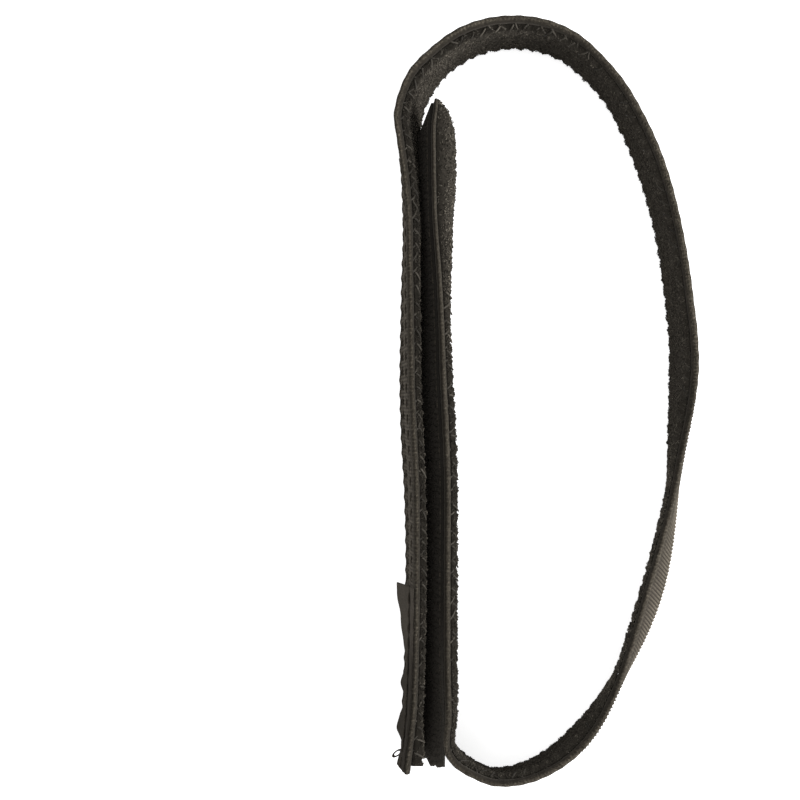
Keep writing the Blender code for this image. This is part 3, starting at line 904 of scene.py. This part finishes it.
def lumps(along, up):
    """A soft uneven swell of the pile, made of a few crossing waves."""
    first = np.sin(along * 1.31 + 2.1 * np.sin(up * 0.57)) * np.sin(up * 1.17 + 1.3 * np.sin(along * 0.43))
    second = np.sin(along * 2.7 + up * 1.9) * np.sin(up * 2.3 - along * 1.1)
    return 0.6 * first + 0.4 * second


def pile_swell(along, up):
    """How much thicker the pile is: at the fluffed inner end, and low in the closure."""
    return smooth_through(PILE_SWELLS, along) + smooth_through(CLOSURE_SWELLS, along) * (1 - up / BAND_WIDTH)


pile_outline = pile_section()
print("pile section", len(pile_outline), "stations")

# %% [markdown]
# The slab's tone follows its shape. Pinched spots are darker, and the upper edge, which lies in the
# groove beside the webbing, is given painted shade. Painted light and shade also vary along the strap:
# the pile is paler at the twist and darker round the bottom. At the very tip it sinks over the thinned
# webbing, and its upper edge lifts.

# %% Pile slab, shaped and toned
PINCH_TONES = ((0, 0.35), (203, 0.40), (228, 0.70), (596, 0.70), (620, 0.40), (788.8, 0.40))
PINCH_SHADE = 1.6
PINCH_DRAW = 0.45
# Painted shade for the pile's upper edge in the groove, place by place.
GROOVE_TONES = (
    (0, 0.40), (190, 0.40), (215, 0.35), (265, 0.35), (300, 0.75), (575, 0.70), (610, 0.45), (788.8, 0.45),
)
GROOVE_RAMP = 20.0
# Painted light and shade of the pile, place by place along the strap.
PILE_TONES = (
    (0, 1.0), (230, 1.0), (258, 0.86), (285, 1.0), (415, 1.0), (445, 2.0), (500, 2.0), (520, 0.95),
    (545, 0.80), (585, 0.80), (610, 1.0), (700, 1.0), (745, 1.15), (788.8, 1.15),
)
PILE_END_CUTS = ((0, 6.2), (15, 6.0), (35, 5.0), (44, 2.1), (48, 0.3), (50, 0.0))
LUMP_HEIGHT = 0.22
TIP_FROM = 776.0
TIP_SINK = 0.5
TIP_LIFT = 2.2
TIP_BAND = 7.0
SLAB_STEPS_PER_ROW = 2


def pile_tone(along, pinch, way_up):
    """How light the pile is: darker where pinched, painted shade in the groove, painted light along the
    strap.
    """
    pinched = 1 + (smooth_through(PINCH_TONES, along) - 1) * np.clip(PINCH_SHADE * pinch, 0.0, 1.0)
    sewn = np.clip((FLUFFED_FROM - along) / GROOVE_RAMP, 0.0, 1.0)
    shaded = np.clip((way_up - 0.5 * (1 - sewn)) * 2.0, 0.0, 1.0)
    groove = 1 + (smooth_through(GROOVE_TONES, along) - 1) * shaded
    return pinched * smooth_through(PILE_TONES, along) * groove


def pile_relief(along, inward, up, way_in, way_up):
    """Pinched edges and lumps of the pile slab, which lies close on the webbing."""
    pinch = pile_pinch(along, up)
    at_tip = np.clip((along - TIP_FROM) / (STRAP_LENGTH - TIP_FROM), 0.0, 1.0)
    sunk = WEBBING_THICKNESS * (1 - smooth_through(THIN_ENDS, along)) + TIP_SINK * at_tip
    raised = LUMP_HEIGHT * lumps(along, up) - PINCH_DEPTH * pinch + pile_swell(along, up)
    inward = inward - sunk + np.clip(way_in, 0.0, 1.0) * raised
    tone = pile_tone(along, pinch, way_up)
    drawn_in = PINCH_DRAW * pinch * np.abs(way_up) * np.sign(BAND_WIDTH / 2 - up)
    up = up + drawn_in + TIP_LIFT * at_tip * (up > BAND_WIDTH - TIP_BAND)
    return slanted_end(along, up, PILE_END_CUTS), inward, up, tone


for length, span in PILE_SPANS.items():
    low, high = LENGTH_ROWS[length]
    piece = roll_layer(span, (high - low) * SLAB_STEPS_PER_ROW, pile_outline, pile_relief)
    lay_on_strap(piece, f"pile_backing_{length}", "pile", f"pile_{NODE_ENDINGS[length]}")
    move_with_strap(piece, length)

# %% [markdown]
# Loops, stitches and hooks all repeat, so two helpers serve them all. The first models one arched thread
# by hand: a small polygon, extruded step by step along an arch. The second copies a shape to many
# places and merges the copies into one mesh, each copy turned by its own three axes.

# %% Arched threads and copies
def arched_thread(sides, radius, rise, steps, swell=0.0):
    """One thread of unit length along x that arches up by rise, thicker in its middle by swell."""
    bpy.ops.object.select_all(action="DESELECT")
    bpy.ops.mesh.primitive_circle_add(
        vertices=sides, radius=radius, fill_type="NGON", location=(-0.5, 0.0, 0.0),
        rotation=(0.0, math.pi / 2, 0.0),
    )
    piece = bpy.context.active_object
    bpy.ops.object.transform_apply(location=True, rotation=True, scale=True)
    bpy.ops.object.mode_set(mode="EDIT")
    bpy.ops.mesh.select_all(action="SELECT")
    for step in range(steps):
        before = math.sin(math.pi * step / steps) * rise
        after = math.sin(math.pi * (step + 1) / steps) * rise
        bpy.ops.mesh.extrude_region_move(TRANSFORM_OT_translate={"value": (1 / steps, 0.0, after - before)})
    bpy.ops.mesh.select_all(action="SELECT")
    bpy.ops.mesh.normals_make_consistent(inside=False)
    bpy.ops.object.mode_set(mode="OBJECT")
    points = read_points(piece)
    share = 1 + swell * np.cos(math.pi * points[:, 0])
    middle = rise * np.sin(math.pi * (points[:, 0] + 0.5))
    points[:, 1] *= share
    points[:, 2] = middle + (points[:, 2] - middle) * share
    write_points(piece, points)
    return piece


def shape_of(piece):
    """Points and faces of a template, which is then removed."""
    points = read_points(piece)
    faces = [tuple(polygon.vertices) for polygon in piece.data.polygons]
    bpy.data.objects.remove(piece, do_unlink=True)
    return points, faces


def copies(name, shape, places, axis_x, axis_y, axis_z, tones=None):
    """One mesh of many copies of a shape, each with its own place, three axes and tone."""
    points, faces = shape
    count = len(places)
    spread = (
        places[:, None, :]
        + points[None, :, 0, None] * axis_x[:, None, :]
        + points[None, :, 1, None] * axis_y[:, None, :]
        + points[None, :, 2, None] * axis_z[:, None, :]
    )
    mesh = bpy.data.meshes.new(name)
    sizes = np.array([len(face) for face in faces])
    corners = np.concatenate([np.array(face) for face in faces])
    all_corners = (corners[None, :] + (np.arange(count) * len(points))[:, None]).ravel()
    mesh.vertices.add(count * len(points))
    mesh.vertices.foreach_set("co", spread.astype(np.float32).ravel())
    mesh.loops.add(len(all_corners))
    mesh.loops.foreach_set("vertex_index", all_corners.astype(np.int32))
    starts = np.concatenate([[0], np.cumsum(np.tile(sizes, count))[:-1]])
    mesh.polygons.add(count * len(faces))
    mesh.polygons.foreach_set("loop_start", starts.astype(np.int32))
    mesh.update(calc_edges=True)
    mesh.validate()
    piece = bpy.data.objects.new(name, mesh)
    if tones is not None:
        write_tone(piece, np.repeat(tones, len(points)))
    bpy.context.scene.collection.objects.link(piece)
    return piece


LOOP_RADIUS = 0.15
LOOP_RISE = 0.34
loop_shape = shape_of(arched_thread(sides=3, radius=LOOP_RADIUS, rise=LOOP_RISE, steps=3))
print("one pile loop", len(loop_shape[1]), "faces")

# %% [markdown]
# On the slab stand thousands of small thread loops. Each is the same three-sided arch, made once and
# copied, because only the crowd of them matters: at this distance a loop is half a pixel wide. They
# stand closer along the upper edge, closest where the pile fluffs up, and few stand where a stitch
# pinches it. The two longest lengths have two crowds each, so that no mesh grows too heavy.

# %% Pile loops
LOOPS_PER_MM2 = 1.00
LOOP_INSET = 0.3
LOOP_ROOT = 0.05
LOOP_LENGTHS = (0.5, 1.2)
LOOP_HEIGHTS = (0.6, 1.1)
LOOP_TIPPING = 0.35
BARE_PINCH = 0.75
EDGE_LOOPS_PER_MM = 3.0
EDGE_REACH = 3.5
FLUFFED_WIDTH = 11.0
ROUNDED_EDGE = 2.2
LOOP_CONTRASTS = ((0, 0.75), (215, 0.65), (290, 0.3), (590, 0.3), (690, 0.7), (740, 0.9), (788.8, 0.9))
BRIGHTEST_LOOP = 2.2
LOOP_CROWDS = {"tail": 1, "shoulder": 1, "loop": 2, "hook_end": 2}


def pile_front():
    """Stations over the pile's face and both its edges, with how far along them each one is."""
    front = pile_outline[:-2]
    steps = np.linalg.norm(np.diff(front[:, :2], axis=0), axis=1)
    return front, np.concatenate([[0.0], np.cumsum(steps)])


def scattered(span, reach_up):
    """Places along the strap and over the pile's section for one crowd of loops."""
    length = span[1] - span[0]
    low, high = span[0] + LOOP_INSET, span[1] - LOOP_INSET
    count = int(length * reach_up * LOOPS_PER_MM2)
    along = [rng.uniform(low, high, count)]
    spot = [rng.uniform(0.0, reach_up, count)]
    count = int(length * EDGE_LOOPS_PER_MM)
    along.append(rng.uniform(low, high, count))
    spot.append(reach_up - rng.uniform(0.0, EDGE_REACH, count))
    if span[1] > FLUFFED_FROM:
        fluffed_from = max(span[0], FLUFFED_FROM)
        count = int((span[1] - fluffed_from) * FLUFFED_WIDTH * LOOPS_PER_MM2)
        edge_spot = rng.uniform(0.0, ROUNDED_EDGE, count)
        at_top = rng.uniform(0.0, 1.0, count) < 0.5
        along.append(rng.uniform(fluffed_from, high, count))
        spot.append(np.where(at_top, reach_up - edge_spot, edge_spot))
    return np.concatenate(along), np.concatenate(spot)


def loop_crowd(name, span):
    """Loops scattered over one stretch of the pile's face and edges."""
    front, reach_up = pile_front()
    along, spot = scattered(span, reach_up[-1])
    inward, up, way_in, way_up = (np.interp(spot, reach_up, front[:, axis]) for axis in range(4))
    keep = rng.uniform(0.0, BARE_PINCH, len(along)) > pile_pinch(along, up)
    along, inward, up, way_in, way_up = (value[keep] for value in (along, inward, up, way_in, way_up))
    count = len(along)
    turn = rng.uniform(0.0, 2 * math.pi, count)
    reach = rng.uniform(*LOOP_LENGTHS, count)
    tall = rng.uniform(*LOOP_HEIGHTS, count)
    tip = rng.normal(0.0, LOOP_TIPPING, (count, 2))
    contrast = smooth_through(LOOP_CONTRASTS, along)
    along, inward, up, tone = pile_relief(along, inward, up, way_in, way_up)
    tone *= np.minimum(np.exp(contrast * rng.normal(0.0, 1.0, count)), BRIGHTEST_LOOP)
    places = np.stack([along, -inward, up], axis=1)
    flat = np.zeros(count)
    out = np.stack([flat, -way_in, way_up], axis=1)
    out /= np.linalg.norm(out, axis=1)[:, None]
    ahead = np.tile((1.0, 0.0, 0.0), (count, 1))
    across = np.cross(out, ahead)
    axis_x = (np.cos(turn)[:, None] * ahead + np.sin(turn)[:, None] * across) * reach[:, None]
    axis_y = -np.sin(turn)[:, None] * ahead + np.cos(turn)[:, None] * across
    axis_z = (out + tip[:, :1] * ahead + tip[:, 1:] * across) * tall[:, None]
    return copies(name, loop_shape, places - LOOP_ROOT * out, axis_x, axis_y, axis_z, tone)


for length, span in PILE_SPANS.items():
    cuts = np.linspace(span[0], span[1], LOOP_CROWDS[length] + 1)
    for number, crowd_span in enumerate(zip(cuts[:-1], cuts[1:]), start=1):
        name = f"pile_loops_{length}_{number}"
        piece = loop_crowd(name, crowd_span)
        lay_on_strap(piece, name, "loops")
        move_with_strap(piece, length)

# %% [markdown]
# A zigzag stitch along each edge sews the lining to the webbing. Seen from above its threads are the pale
# strokes in the dark groove beside the selvage. Every other stroke is drawn in deeper and shows less.
# Each stroke is one five-sided thread, laid from the webbing's margin over the edge of the pile. Some are
# buried in the pile and left out, and towards the inner end, where the pile fluffs up, there are none.

# %% Zigzag rows
THREAD_RADIUS = 0.29
THREAD_RISE = 0.22
# Painted light and shade of the strokes: paler over the top of the loop, darker on the far wall and bottom.
STROKE_TONES = (
    (0, 0.46), (190, 0.46), (222, 0.40), (236, 0.55), (275, 0.55), (300, 0.3), (590, 0.3), (640, 0.5),
    (788.8, 0.5),
)
STROKES_SHOWN = (
    (0, 0.95), (190, 0.95), (215, 1.0), (275, 1.0), (310, 0.5), (590, 0.5), (640, 0.85), (788.8, 0.85),
)
STROKE_CONTRAST = 0.35
BACK_STROKE_SINK = 0.80
FAR_BITE_SINK = 0.70
STITCH_WANDER = (0.45, 0.10, 0.38)
ZIGZAG_MARGIN = 2.9
ZIGZAG_BITE = 4.3
MARGIN_LIFT = 0.55
BITE_LIFT = 2.45
zigzag_shape = shape_of(arched_thread(sides=5, radius=THREAD_RADIUS, rise=THREAD_RISE, steps=4))


def threads_between(name, shape, start, end, out, tones=None):
    """Threads laid from start points to end points, arching along out."""
    axis_x = end - start
    axis_y = np.cross(out, axis_x)
    axis_y /= np.linalg.norm(axis_y, axis=1)[:, None]
    axis_z = np.cross(axis_x, axis_y)
    axis_z /= np.linalg.norm(axis_z, axis=1)[:, None]
    return copies(name, shape, (start + end) / 2, axis_x, axis_y, axis_z, tones)


def zigzag_threads(length, span):
    """The strokes along both edges, on one length: one stroke of each pair is drawn in deeper."""
    half = PINCH_PITCH / 2
    steps = np.arange(math.ceil(span[0] / half), math.floor(min(span[1], FLUFFED_FROM) / half))
    steps = np.repeat(steps, 2)
    near = np.arange(len(steps)) % 2 == 0
    shown = rng.uniform(0.0, 1.0, len(steps)) < smooth_through(STROKES_SHOWN, steps * half)
    steps, near = steps[shown], near[shown]
    ends = []
    for place in (steps, steps + 1):
        bitten = place % 2 == 0
        from_edge = np.where(bitten, ZIGZAG_BITE, ZIGZAG_MARGIN)
        up = np.where(near, BAND_WIDTH - from_edge, from_edge)
        bite_lift = BITE_LIFT + pile_swell(place * half, up) - np.where(near, 0.0, FAR_BITE_SINK)
        lift = np.where(bitten, bite_lift, MARGIN_LIFT)
        lift -= BACK_STROKE_SINK * (steps % 2)
        flat = np.stack([place * half, -WEBBING_THICKNESS - lift, up], axis=1)
        ends.append(flat + rng.normal(0.0, STITCH_WANDER, flat.shape))
    out = np.tile((0.0, -1.0, 0.0), (len(steps), 1))
    contrast = np.exp(STROKE_CONTRAST * rng.normal(0.0, 1.0, len(steps)))
    tones = smooth_through(STROKE_TONES, steps * half) * contrast
    return threads_between(f"zigzag_{length}", zigzag_shape, ends[0], ends[1], out, tones)


for length, span in PILE_SPANS.items():
    piece = zigzag_threads(length, span)
    ending = NODE_ENDINGS[length]
    lay_on_strap(piece, f"zigzag_{length}", "thread", f"zigzag_near_{ending}", f"zigzag_far_{ending}")
    move_with_strap(piece, length)

# %% [markdown]
# Two straight rows of lockstitch run along the outside of the tail, with a cross row at their top and a
# tack at the outer end. A lockstitch shows as short threads, end to end, each dipping into the cloth
# at both ends. The rows cross the tail's folds.

# %% Lockstitch rows on the tail
STITCH_LENGTH = 3.3
STITCH_RADIUS = 0.22
STITCH_RISE = 0.20
STITCH_SWELL = 0.35
SEAM_LIFT = 0.02
LABEL_END = 58.6
LABEL_GAP = 1.5
TACK_ALONG = SEAM_SPAN[0] - 1.0
TACK_TOP = 20.0
CROSS_ALONG = SEAM_SPAN[1] + 0.8
stitch_shape = shape_of(
    arched_thread(sides=6, radius=STITCH_RADIUS, rise=STITCH_RISE, steps=4, swell=STITCH_SWELL)
)


def stitch_row(start, end):
    """Start and end points of the stitches along a straight row on the outer face."""
    start, end = np.array(start), np.array(end)
    count = max(1, int(round(np.linalg.norm(end - start) / STITCH_PITCH)))
    step = (end - start) / count
    first = start + np.arange(count)[:, None] * step
    return first, first + step * (STITCH_LENGTH / STITCH_PITCH)


def stitched(name, rows):
    """All stitches of several rows as one flat piece, arching outward."""
    pairs = [stitch_row(start, end) for start, end in rows]
    starts = np.concatenate([pair[0] for pair in pairs])
    ends = np.concatenate([pair[1] for pair in pairs])
    out = np.tile((0.0, 1.0, 0.0), (len(starts), 1))
    return threads_between(name, stitch_shape, starts, ends, out)


near_row, far_row = SEAM_ROWS
cut = SPANS["tail"][1]
tail_rows = (
    ((LABEL_END + LABEL_GAP, SEAM_LIFT, near_row), (cut, SEAM_LIFT, near_row)),
    ((SEAM_SPAN[0], SEAM_LIFT, far_row), (cut, SEAM_LIFT, far_row)),
    ((TACK_ALONG, SEAM_LIFT, far_row), (TACK_ALONG, SEAM_LIFT, TACK_TOP)),
)
root_rows = (
    ((cut, SEAM_LIFT, near_row), (SEAM_SPAN[1], SEAM_LIFT, near_row)),
    ((cut, SEAM_LIFT, far_row), (SEAM_SPAN[1], SEAM_LIFT, far_row)),
    ((CROSS_ALONG, SEAM_LIFT, far_row), (CROSS_ALONG, SEAM_LIFT, near_row)),
)
for length, rows, third in (("tail", tail_rows, "tack"), ("shoulder", root_rows, "cross")):
    piece = stitched(f"lockstitch_{length}", rows)
    nodes = [f"seam_{row}_{NODE_ENDINGS[length]}" for row in ("near", "far", third)]
    lay_on_strap(piece, f"lockstitch_{length}", "dark_thread", *nodes)
    move_with_strap(piece, length)

# %% [markdown]
# The hook tape is black nylon. Its backing is sewn to the outer side of the inner run, and its lower end
# sticks straight on where the webbing bends away. Both its cut ends are slanted and a little frayed. Deep
# in the closure it has painted light, paler towards its lower edge, and painted shade at its top. It is
# one stiff strip, so it rides on the inner end and doesn't bend.

# %% Hook tape
TAPE_LOW, TAPE_HIGH = 2.0, 48.0
TAPE_BACK, TAPE_FACE = -0.05, -0.85
TAPE_STATIONS = 20
TAPE_STEPS = 160
TAPE_STRAIGHT_FROM = 592.1
TAPE_SPAN = (578.1, STRAP_LENGTH - 1.3)
TAPE_TOES = ((578, 2.4), (600, 1.6), (640, 0.6), (745, 0.6), (770, 1.3), (789, 1.6))
FREE_END_CUTS = ((0, 4.2), (22, 0.8), (27, 3.2), (48, 0.0), (50, 0.0))
FREE_END_REACH = 12.0
FRAY_REACH = 3.0
# Painted light and shade on the tape in the closure, by height: lighter low down, darker at the top.
CLOSURE_LIGHT_TONES = ((0, 3.4), (20, 2.4), (35, 1.1), (50, 0.40))
CLOSURE_LIGHT_FROM = 603.0
CLOSURE_LIGHT_RAMP = 25.0


def tape_section():
    """Stations round the hook tape's backing."""
    ups = np.linspace(TAPE_LOW, TAPE_HIGH, TAPE_STATIONS)
    outer = [(TAPE_FACE, up, -1.0, 0.0) for up in ups]
    inner = [(TAPE_BACK, up, 1.0, 0.0) for up in reversed(ups)]
    return np.array(outer + inner)


def tape_out(along, up):
    """How far the tape's lower edge splays out towards the tail at its two ends."""
    return smooth_through(TAPE_TOES, along) * (1 - up / BAND_WIDTH)


def tape_end(along, up):
    """The slanted cuts at both ends of the tape."""
    free = np.clip(1 - (along - TAPE_SPAN[0]) / FREE_END_REACH, 0.0, 1.0)
    return slanted_end(along, up) - free * smooth_through(FREE_END_CUTS, up)


def closure_painted_light(along, up):
    """Painted light in the closure, paler low on the tape and darker at its top; the free end is plain."""
    pressed = np.clip((along - CLOSURE_LIGHT_FROM) / CLOSURE_LIGHT_RAMP, 0.0, 1.0)
    return 1 + (smooth_through(CLOSURE_LIGHT_TONES, up) - 1) * pressed


def tape_relief(along, inward, up, way_in, way_up):
    """Slanted and frayed ends of the hook tape, and its splayed lower edge."""
    low_fray = np.clip(1 - (along - TAPE_SPAN[0]) / FRAY_REACH, 0.0, 1.0)
    high_fray = np.clip(1 - (TAPE_SPAN[1] - along) / FRAY_REACH, 0.0, 1.0)
    jag = 0.7 * np.sin(up * 2.1) + 0.5 * np.sin(up * 5.3 + 1.0)
    tone = closure_painted_light(along, up)
    return tape_end(along, up) + (low_fray - high_fray) * jag, inward - tape_out(along, up), up, tone


tape = roll_layer(TAPE_SPAN, TAPE_STEPS, tape_section(), tape_relief)
lay_on_strap(tape, "hook_tape_backing", "hook", "hook_tape", low=TAPE_STRAIGHT_FROM)
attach(tape, "hook_end")

# %% [markdown]
# Rows of tiny hooks stand on the tape. One hook is a stem of three sides that is extruded and turned over
# at the top. It is copied over the tape, each copy a little out of line, and every other hook faces the
# other way, as on real tape. Two rows of lockstitch hold the tape down.

# %% Hooks and the tape's seams
HOOK_RADIUS = 0.10
HOOK_MOVES = ((0.0, 0.0, 0.30), (0.04, 0.0, 0.16), (0.15, 0.0, 0.09), (0.16, 0.0, -0.06), (0.06, 0.0, -0.15))
HOOK_GAP_ALONG = 1.8
HOOK_GAP_UP = 1.6
HOOK_WANDER = 0.35
HOOKS_ALONG = (TAPE_SPAN[0] + 1.5, TAPE_SPAN[1] - 1.0)
HOOKS_UP = (TAPE_LOW + 1.2, TAPE_HIGH - 1.0)
HOOK_SEAM_INSET = 2.5
HOOK_SEAM_END = TAPE_SPAN[1] - 3.0


def one_hook():
    """One hook, with its stem along z, curling towards x."""
    bpy.ops.object.select_all(action="DESELECT")
    bpy.ops.mesh.primitive_circle_add(vertices=3, radius=HOOK_RADIUS, fill_type="NGON")
    piece = bpy.context.active_object
    bpy.ops.object.mode_set(mode="EDIT")
    bpy.ops.mesh.select_all(action="SELECT")
    for move in HOOK_MOVES:
        bpy.ops.mesh.extrude_region_move(TRANSFORM_OT_translate={"value": move})
    bpy.ops.mesh.select_all(action="SELECT")
    bpy.ops.mesh.normals_make_consistent(inside=False)
    bpy.ops.object.mode_set(mode="OBJECT")
    return piece


def hook_field():
    """All hooks of the tape, standing on its outer face, as one flat piece."""
    along, up = np.meshgrid(np.arange(*HOOKS_ALONG, HOOK_GAP_ALONG), np.arange(*HOOKS_UP, HOOK_GAP_UP))
    count = along.size
    along = along.ravel() + rng.normal(0.0, HOOK_WANDER, count)
    up = up.ravel() + rng.normal(0.0, HOOK_WANDER, count)
    way = np.where(np.arange(count) % 2 == 0, 1.0, -1.0)
    flat = np.zeros(count)
    return copies(
        "hooks", shape_of(one_hook()),
        np.stack([tape_end(along, up), tape_out(along, up) - TAPE_FACE, up], axis=1),
        np.stack([way, flat, flat], axis=1),
        np.stack([flat, flat, way], axis=1),
        np.stack([flat, flat + 1.0, flat], axis=1),
        closure_painted_light(along, up),
    )


hooks = hook_field()
lay_on_strap(hooks, "hooks", "hook", low=TAPE_STRAIGHT_FROM)
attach(hooks, "hook_end")

hook_rows = [
    ((TAPE_STRAIGHT_FROM, -TAPE_FACE, row_up), (HOOK_SEAM_END, -TAPE_FACE, row_up))
    for row_up in (TAPE_HIGH - HOOK_SEAM_INSET, TAPE_LOW + HOOK_SEAM_INSET)
]
hook_seams = stitched("hook_seams", hook_rows)
lay_on_strap(hook_seams, "hook_seams", "dark_thread", "hook_seam_near", "hook_seam_far")
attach(hook_seams, "hook_end")

# %% [markdown]
# The label is a satin ribbon, folded once and sewn on by its two cut ends. Its base lies on the
# webbing and its folded flap hangs over it. The fold's free edge is wavy, because handling has bent it.
# Both are real sheets, given their thickness by Solidify. The label is left plain, apart from painted light
# that makes it paler towards the end where the flap stands off most.

# %% Label sheets
LABEL_START = 0.6
FLAP_START = 7.6
BASE_LOW, BASE_HIGH = 20.5, 49.5
BASE_LIFT = 0.38
BASE_RIPPLE = 0.08
FLAP_TOP = 42.55
FLAP_LIFT = 0.72
FLAP_RIPPLE = 0.12
FLAP_FLARE = 1.6
FLAT_SHARE = 0.46
FOLD_SHARE = 0.08
FOLD_RADIUS = 0.16
SEAM_PRESS = 0.35
CLOTH_THICKNESS = 0.20
FLAP_DEPTHS = ((7.6, 22.6), (20, 23.2), (36, 23.6), (48, 22.4), (58.6, 19.2))
FLAP_STAND_OFF = (
    (7.6, -0.2), (9.5, 1.2), (11.2, 1.8), (15, 1.0), (19.7, -0.45), (25, 1.2), (28, 0.7), (33, -0.3),
    (39, 0.9), (47, 1.9), (58.6, 3.4),
)
# Painted light on the label: darker at its outer end, paler where the flap stands off most.
LABEL_TONES = ((0, 0.7), (30, 0.8), (45, 1.8), (58.6, 2.2))


def cloth_grid(steps_along, steps_across):
    """A unit grid with its corner at the origin, as flat cloth to be shaped."""
    bpy.ops.object.select_all(action="DESELECT")
    bpy.ops.mesh.primitive_grid_add(x_subdivisions=steps_along, y_subdivisions=steps_across, size=1.0)
    piece = bpy.context.active_object
    points = read_points(piece)
    return piece, points[:, 0] + 0.5, points[:, 1] + 0.5


def cut_cloth(piece, along, outward, up):
    """Shape a sheet of the label, give it painted light, and give it its thickness with Solidify."""
    write_points(piece, np.stack([along, outward, up], axis=1))
    write_tone(piece, smooth_through(LABEL_TONES, along))
    bpy.ops.object.select_all(action="DESELECT")
    piece.select_set(True)
    bpy.context.view_layer.objects.active = piece
    solidify = piece.modifiers.new("thickness", "SOLIDIFY")
    solidify.thickness = CLOTH_THICKNESS
    solidify.offset = 0.0
    bpy.ops.object.modifier_apply(modifier=solidify.name)
    bpy.ops.object.mode_set(mode="EDIT")
    bpy.ops.mesh.select_all(action="SELECT")
    bpy.ops.mesh.normals_make_consistent(inside=False)
    bpy.ops.object.mode_set(mode="OBJECT")
    return piece


def make_label_base():
    """The sewn-down part of the label, flat on the webbing."""
    piece, along_share, up_share = cloth_grid(58, 29)
    along = LABEL_START + along_share * (LABEL_END - LABEL_START)
    up = BASE_LOW + up_share * (BASE_HIGH - BASE_LOW)
    return cut_cloth(piece, along, BASE_LIFT + BASE_RIPPLE * np.sin(along * 0.9 + up * 0.3), up)


def make_label_flap():
    """The folded flap: down from the seam, round the fold and up again behind."""
    piece, along_share, fold_share = cloth_grid(68, 64)
    along = FLAP_START + along_share * (LABEL_END - FLAP_START)
    depth = smooth_through(FLAP_DEPTHS, along)
    turn = np.clip((fold_share - FLAT_SHARE) / FOLD_SHARE, 0.0, 1.0) * math.pi
    down = np.minimum(np.minimum(fold_share, 1 - fold_share) / FLAT_SHARE, 1.0)
    up = FLAP_TOP - down * (depth - FOLD_RADIUS) - FOLD_RADIUS * np.sin(turn)
    opened = FOLD_RADIUS * np.cos(turn) * (SEAM_PRESS + (1 - SEAM_PRESS) * down)
    stand_off = smooth_through(FLAP_STAND_OFF, along) * down ** FLAP_FLARE
    ripple = FLAP_RIPPLE * np.sin(along * 0.7 + down * 2.0) * down
    return cut_cloth(piece, along, FLAP_LIFT + opened + stand_off + ripple, up)


label_base = make_label_base()
label_flap = make_label_flap()
print("label sheets", len(label_base.data.polygons), "and", len(label_flap.data.polygons), "faces")

# %% [markdown]
# The base moves with the tail, and the flap turns on the seam that holds it.

# %% Label on the strap
LABEL_SEAM_LIFT = 0.85
LABEL_SEAM_SPAN = (LABEL_START + 0.8, LABEL_END - 0.5)

lay_on_strap(label_base, "satin_base", "label", "label_base")
lay_on_strap(label_flap, "satin_flap", "label", "label_flap")
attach(label_base, "tail_tip")
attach(label_flap, "label_flap")

label_row = [(along, LABEL_SEAM_LIFT, near_row) for along in LABEL_SEAM_SPAN]
label_seam = stitched("label_seam", [label_row])
lay_on_strap(label_seam, "label_stitches", "dark_thread", "label_seam")
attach(label_seam, "tail_tip")

# %% [markdown]
# At the outer end a loop of thread has worked loose. It is a small ring of thread, a torus that is
# squeezed and tilted, with its foot in the tack. Such a flaw is worth its few faces: it tells the eye
# that the strap is sewn.

# %% Loose thread
RING_RADIUS = 1.15
RING_THREAD = 0.36
RING_SQUEEZE = (1.15, 0.75, 1.0)
RING_PLACE = (3.8, 1.2, 30.0)
RING_TILT = (0.2, 0.15, -0.8)

bpy.ops.object.select_all(action="DESELECT")
bpy.ops.mesh.primitive_torus_add(
    major_radius=RING_RADIUS, minor_radius=RING_THREAD, major_segments=28, minor_segments=8,
)
loose_thread = bpy.context.active_object
bpy.ops.transform.resize(value=RING_SQUEEZE)
bpy.ops.object.transform_apply(location=True, rotation=True, scale=True)
loose_thread.location = RING_PLACE
loose_thread.rotation_euler = RING_TILT
bpy.ops.object.transform_apply(location=True, rotation=True, scale=True)
lay_on_strap(loose_thread, "loose_thread", "dark_thread")
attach(loose_thread, "tail_tip")
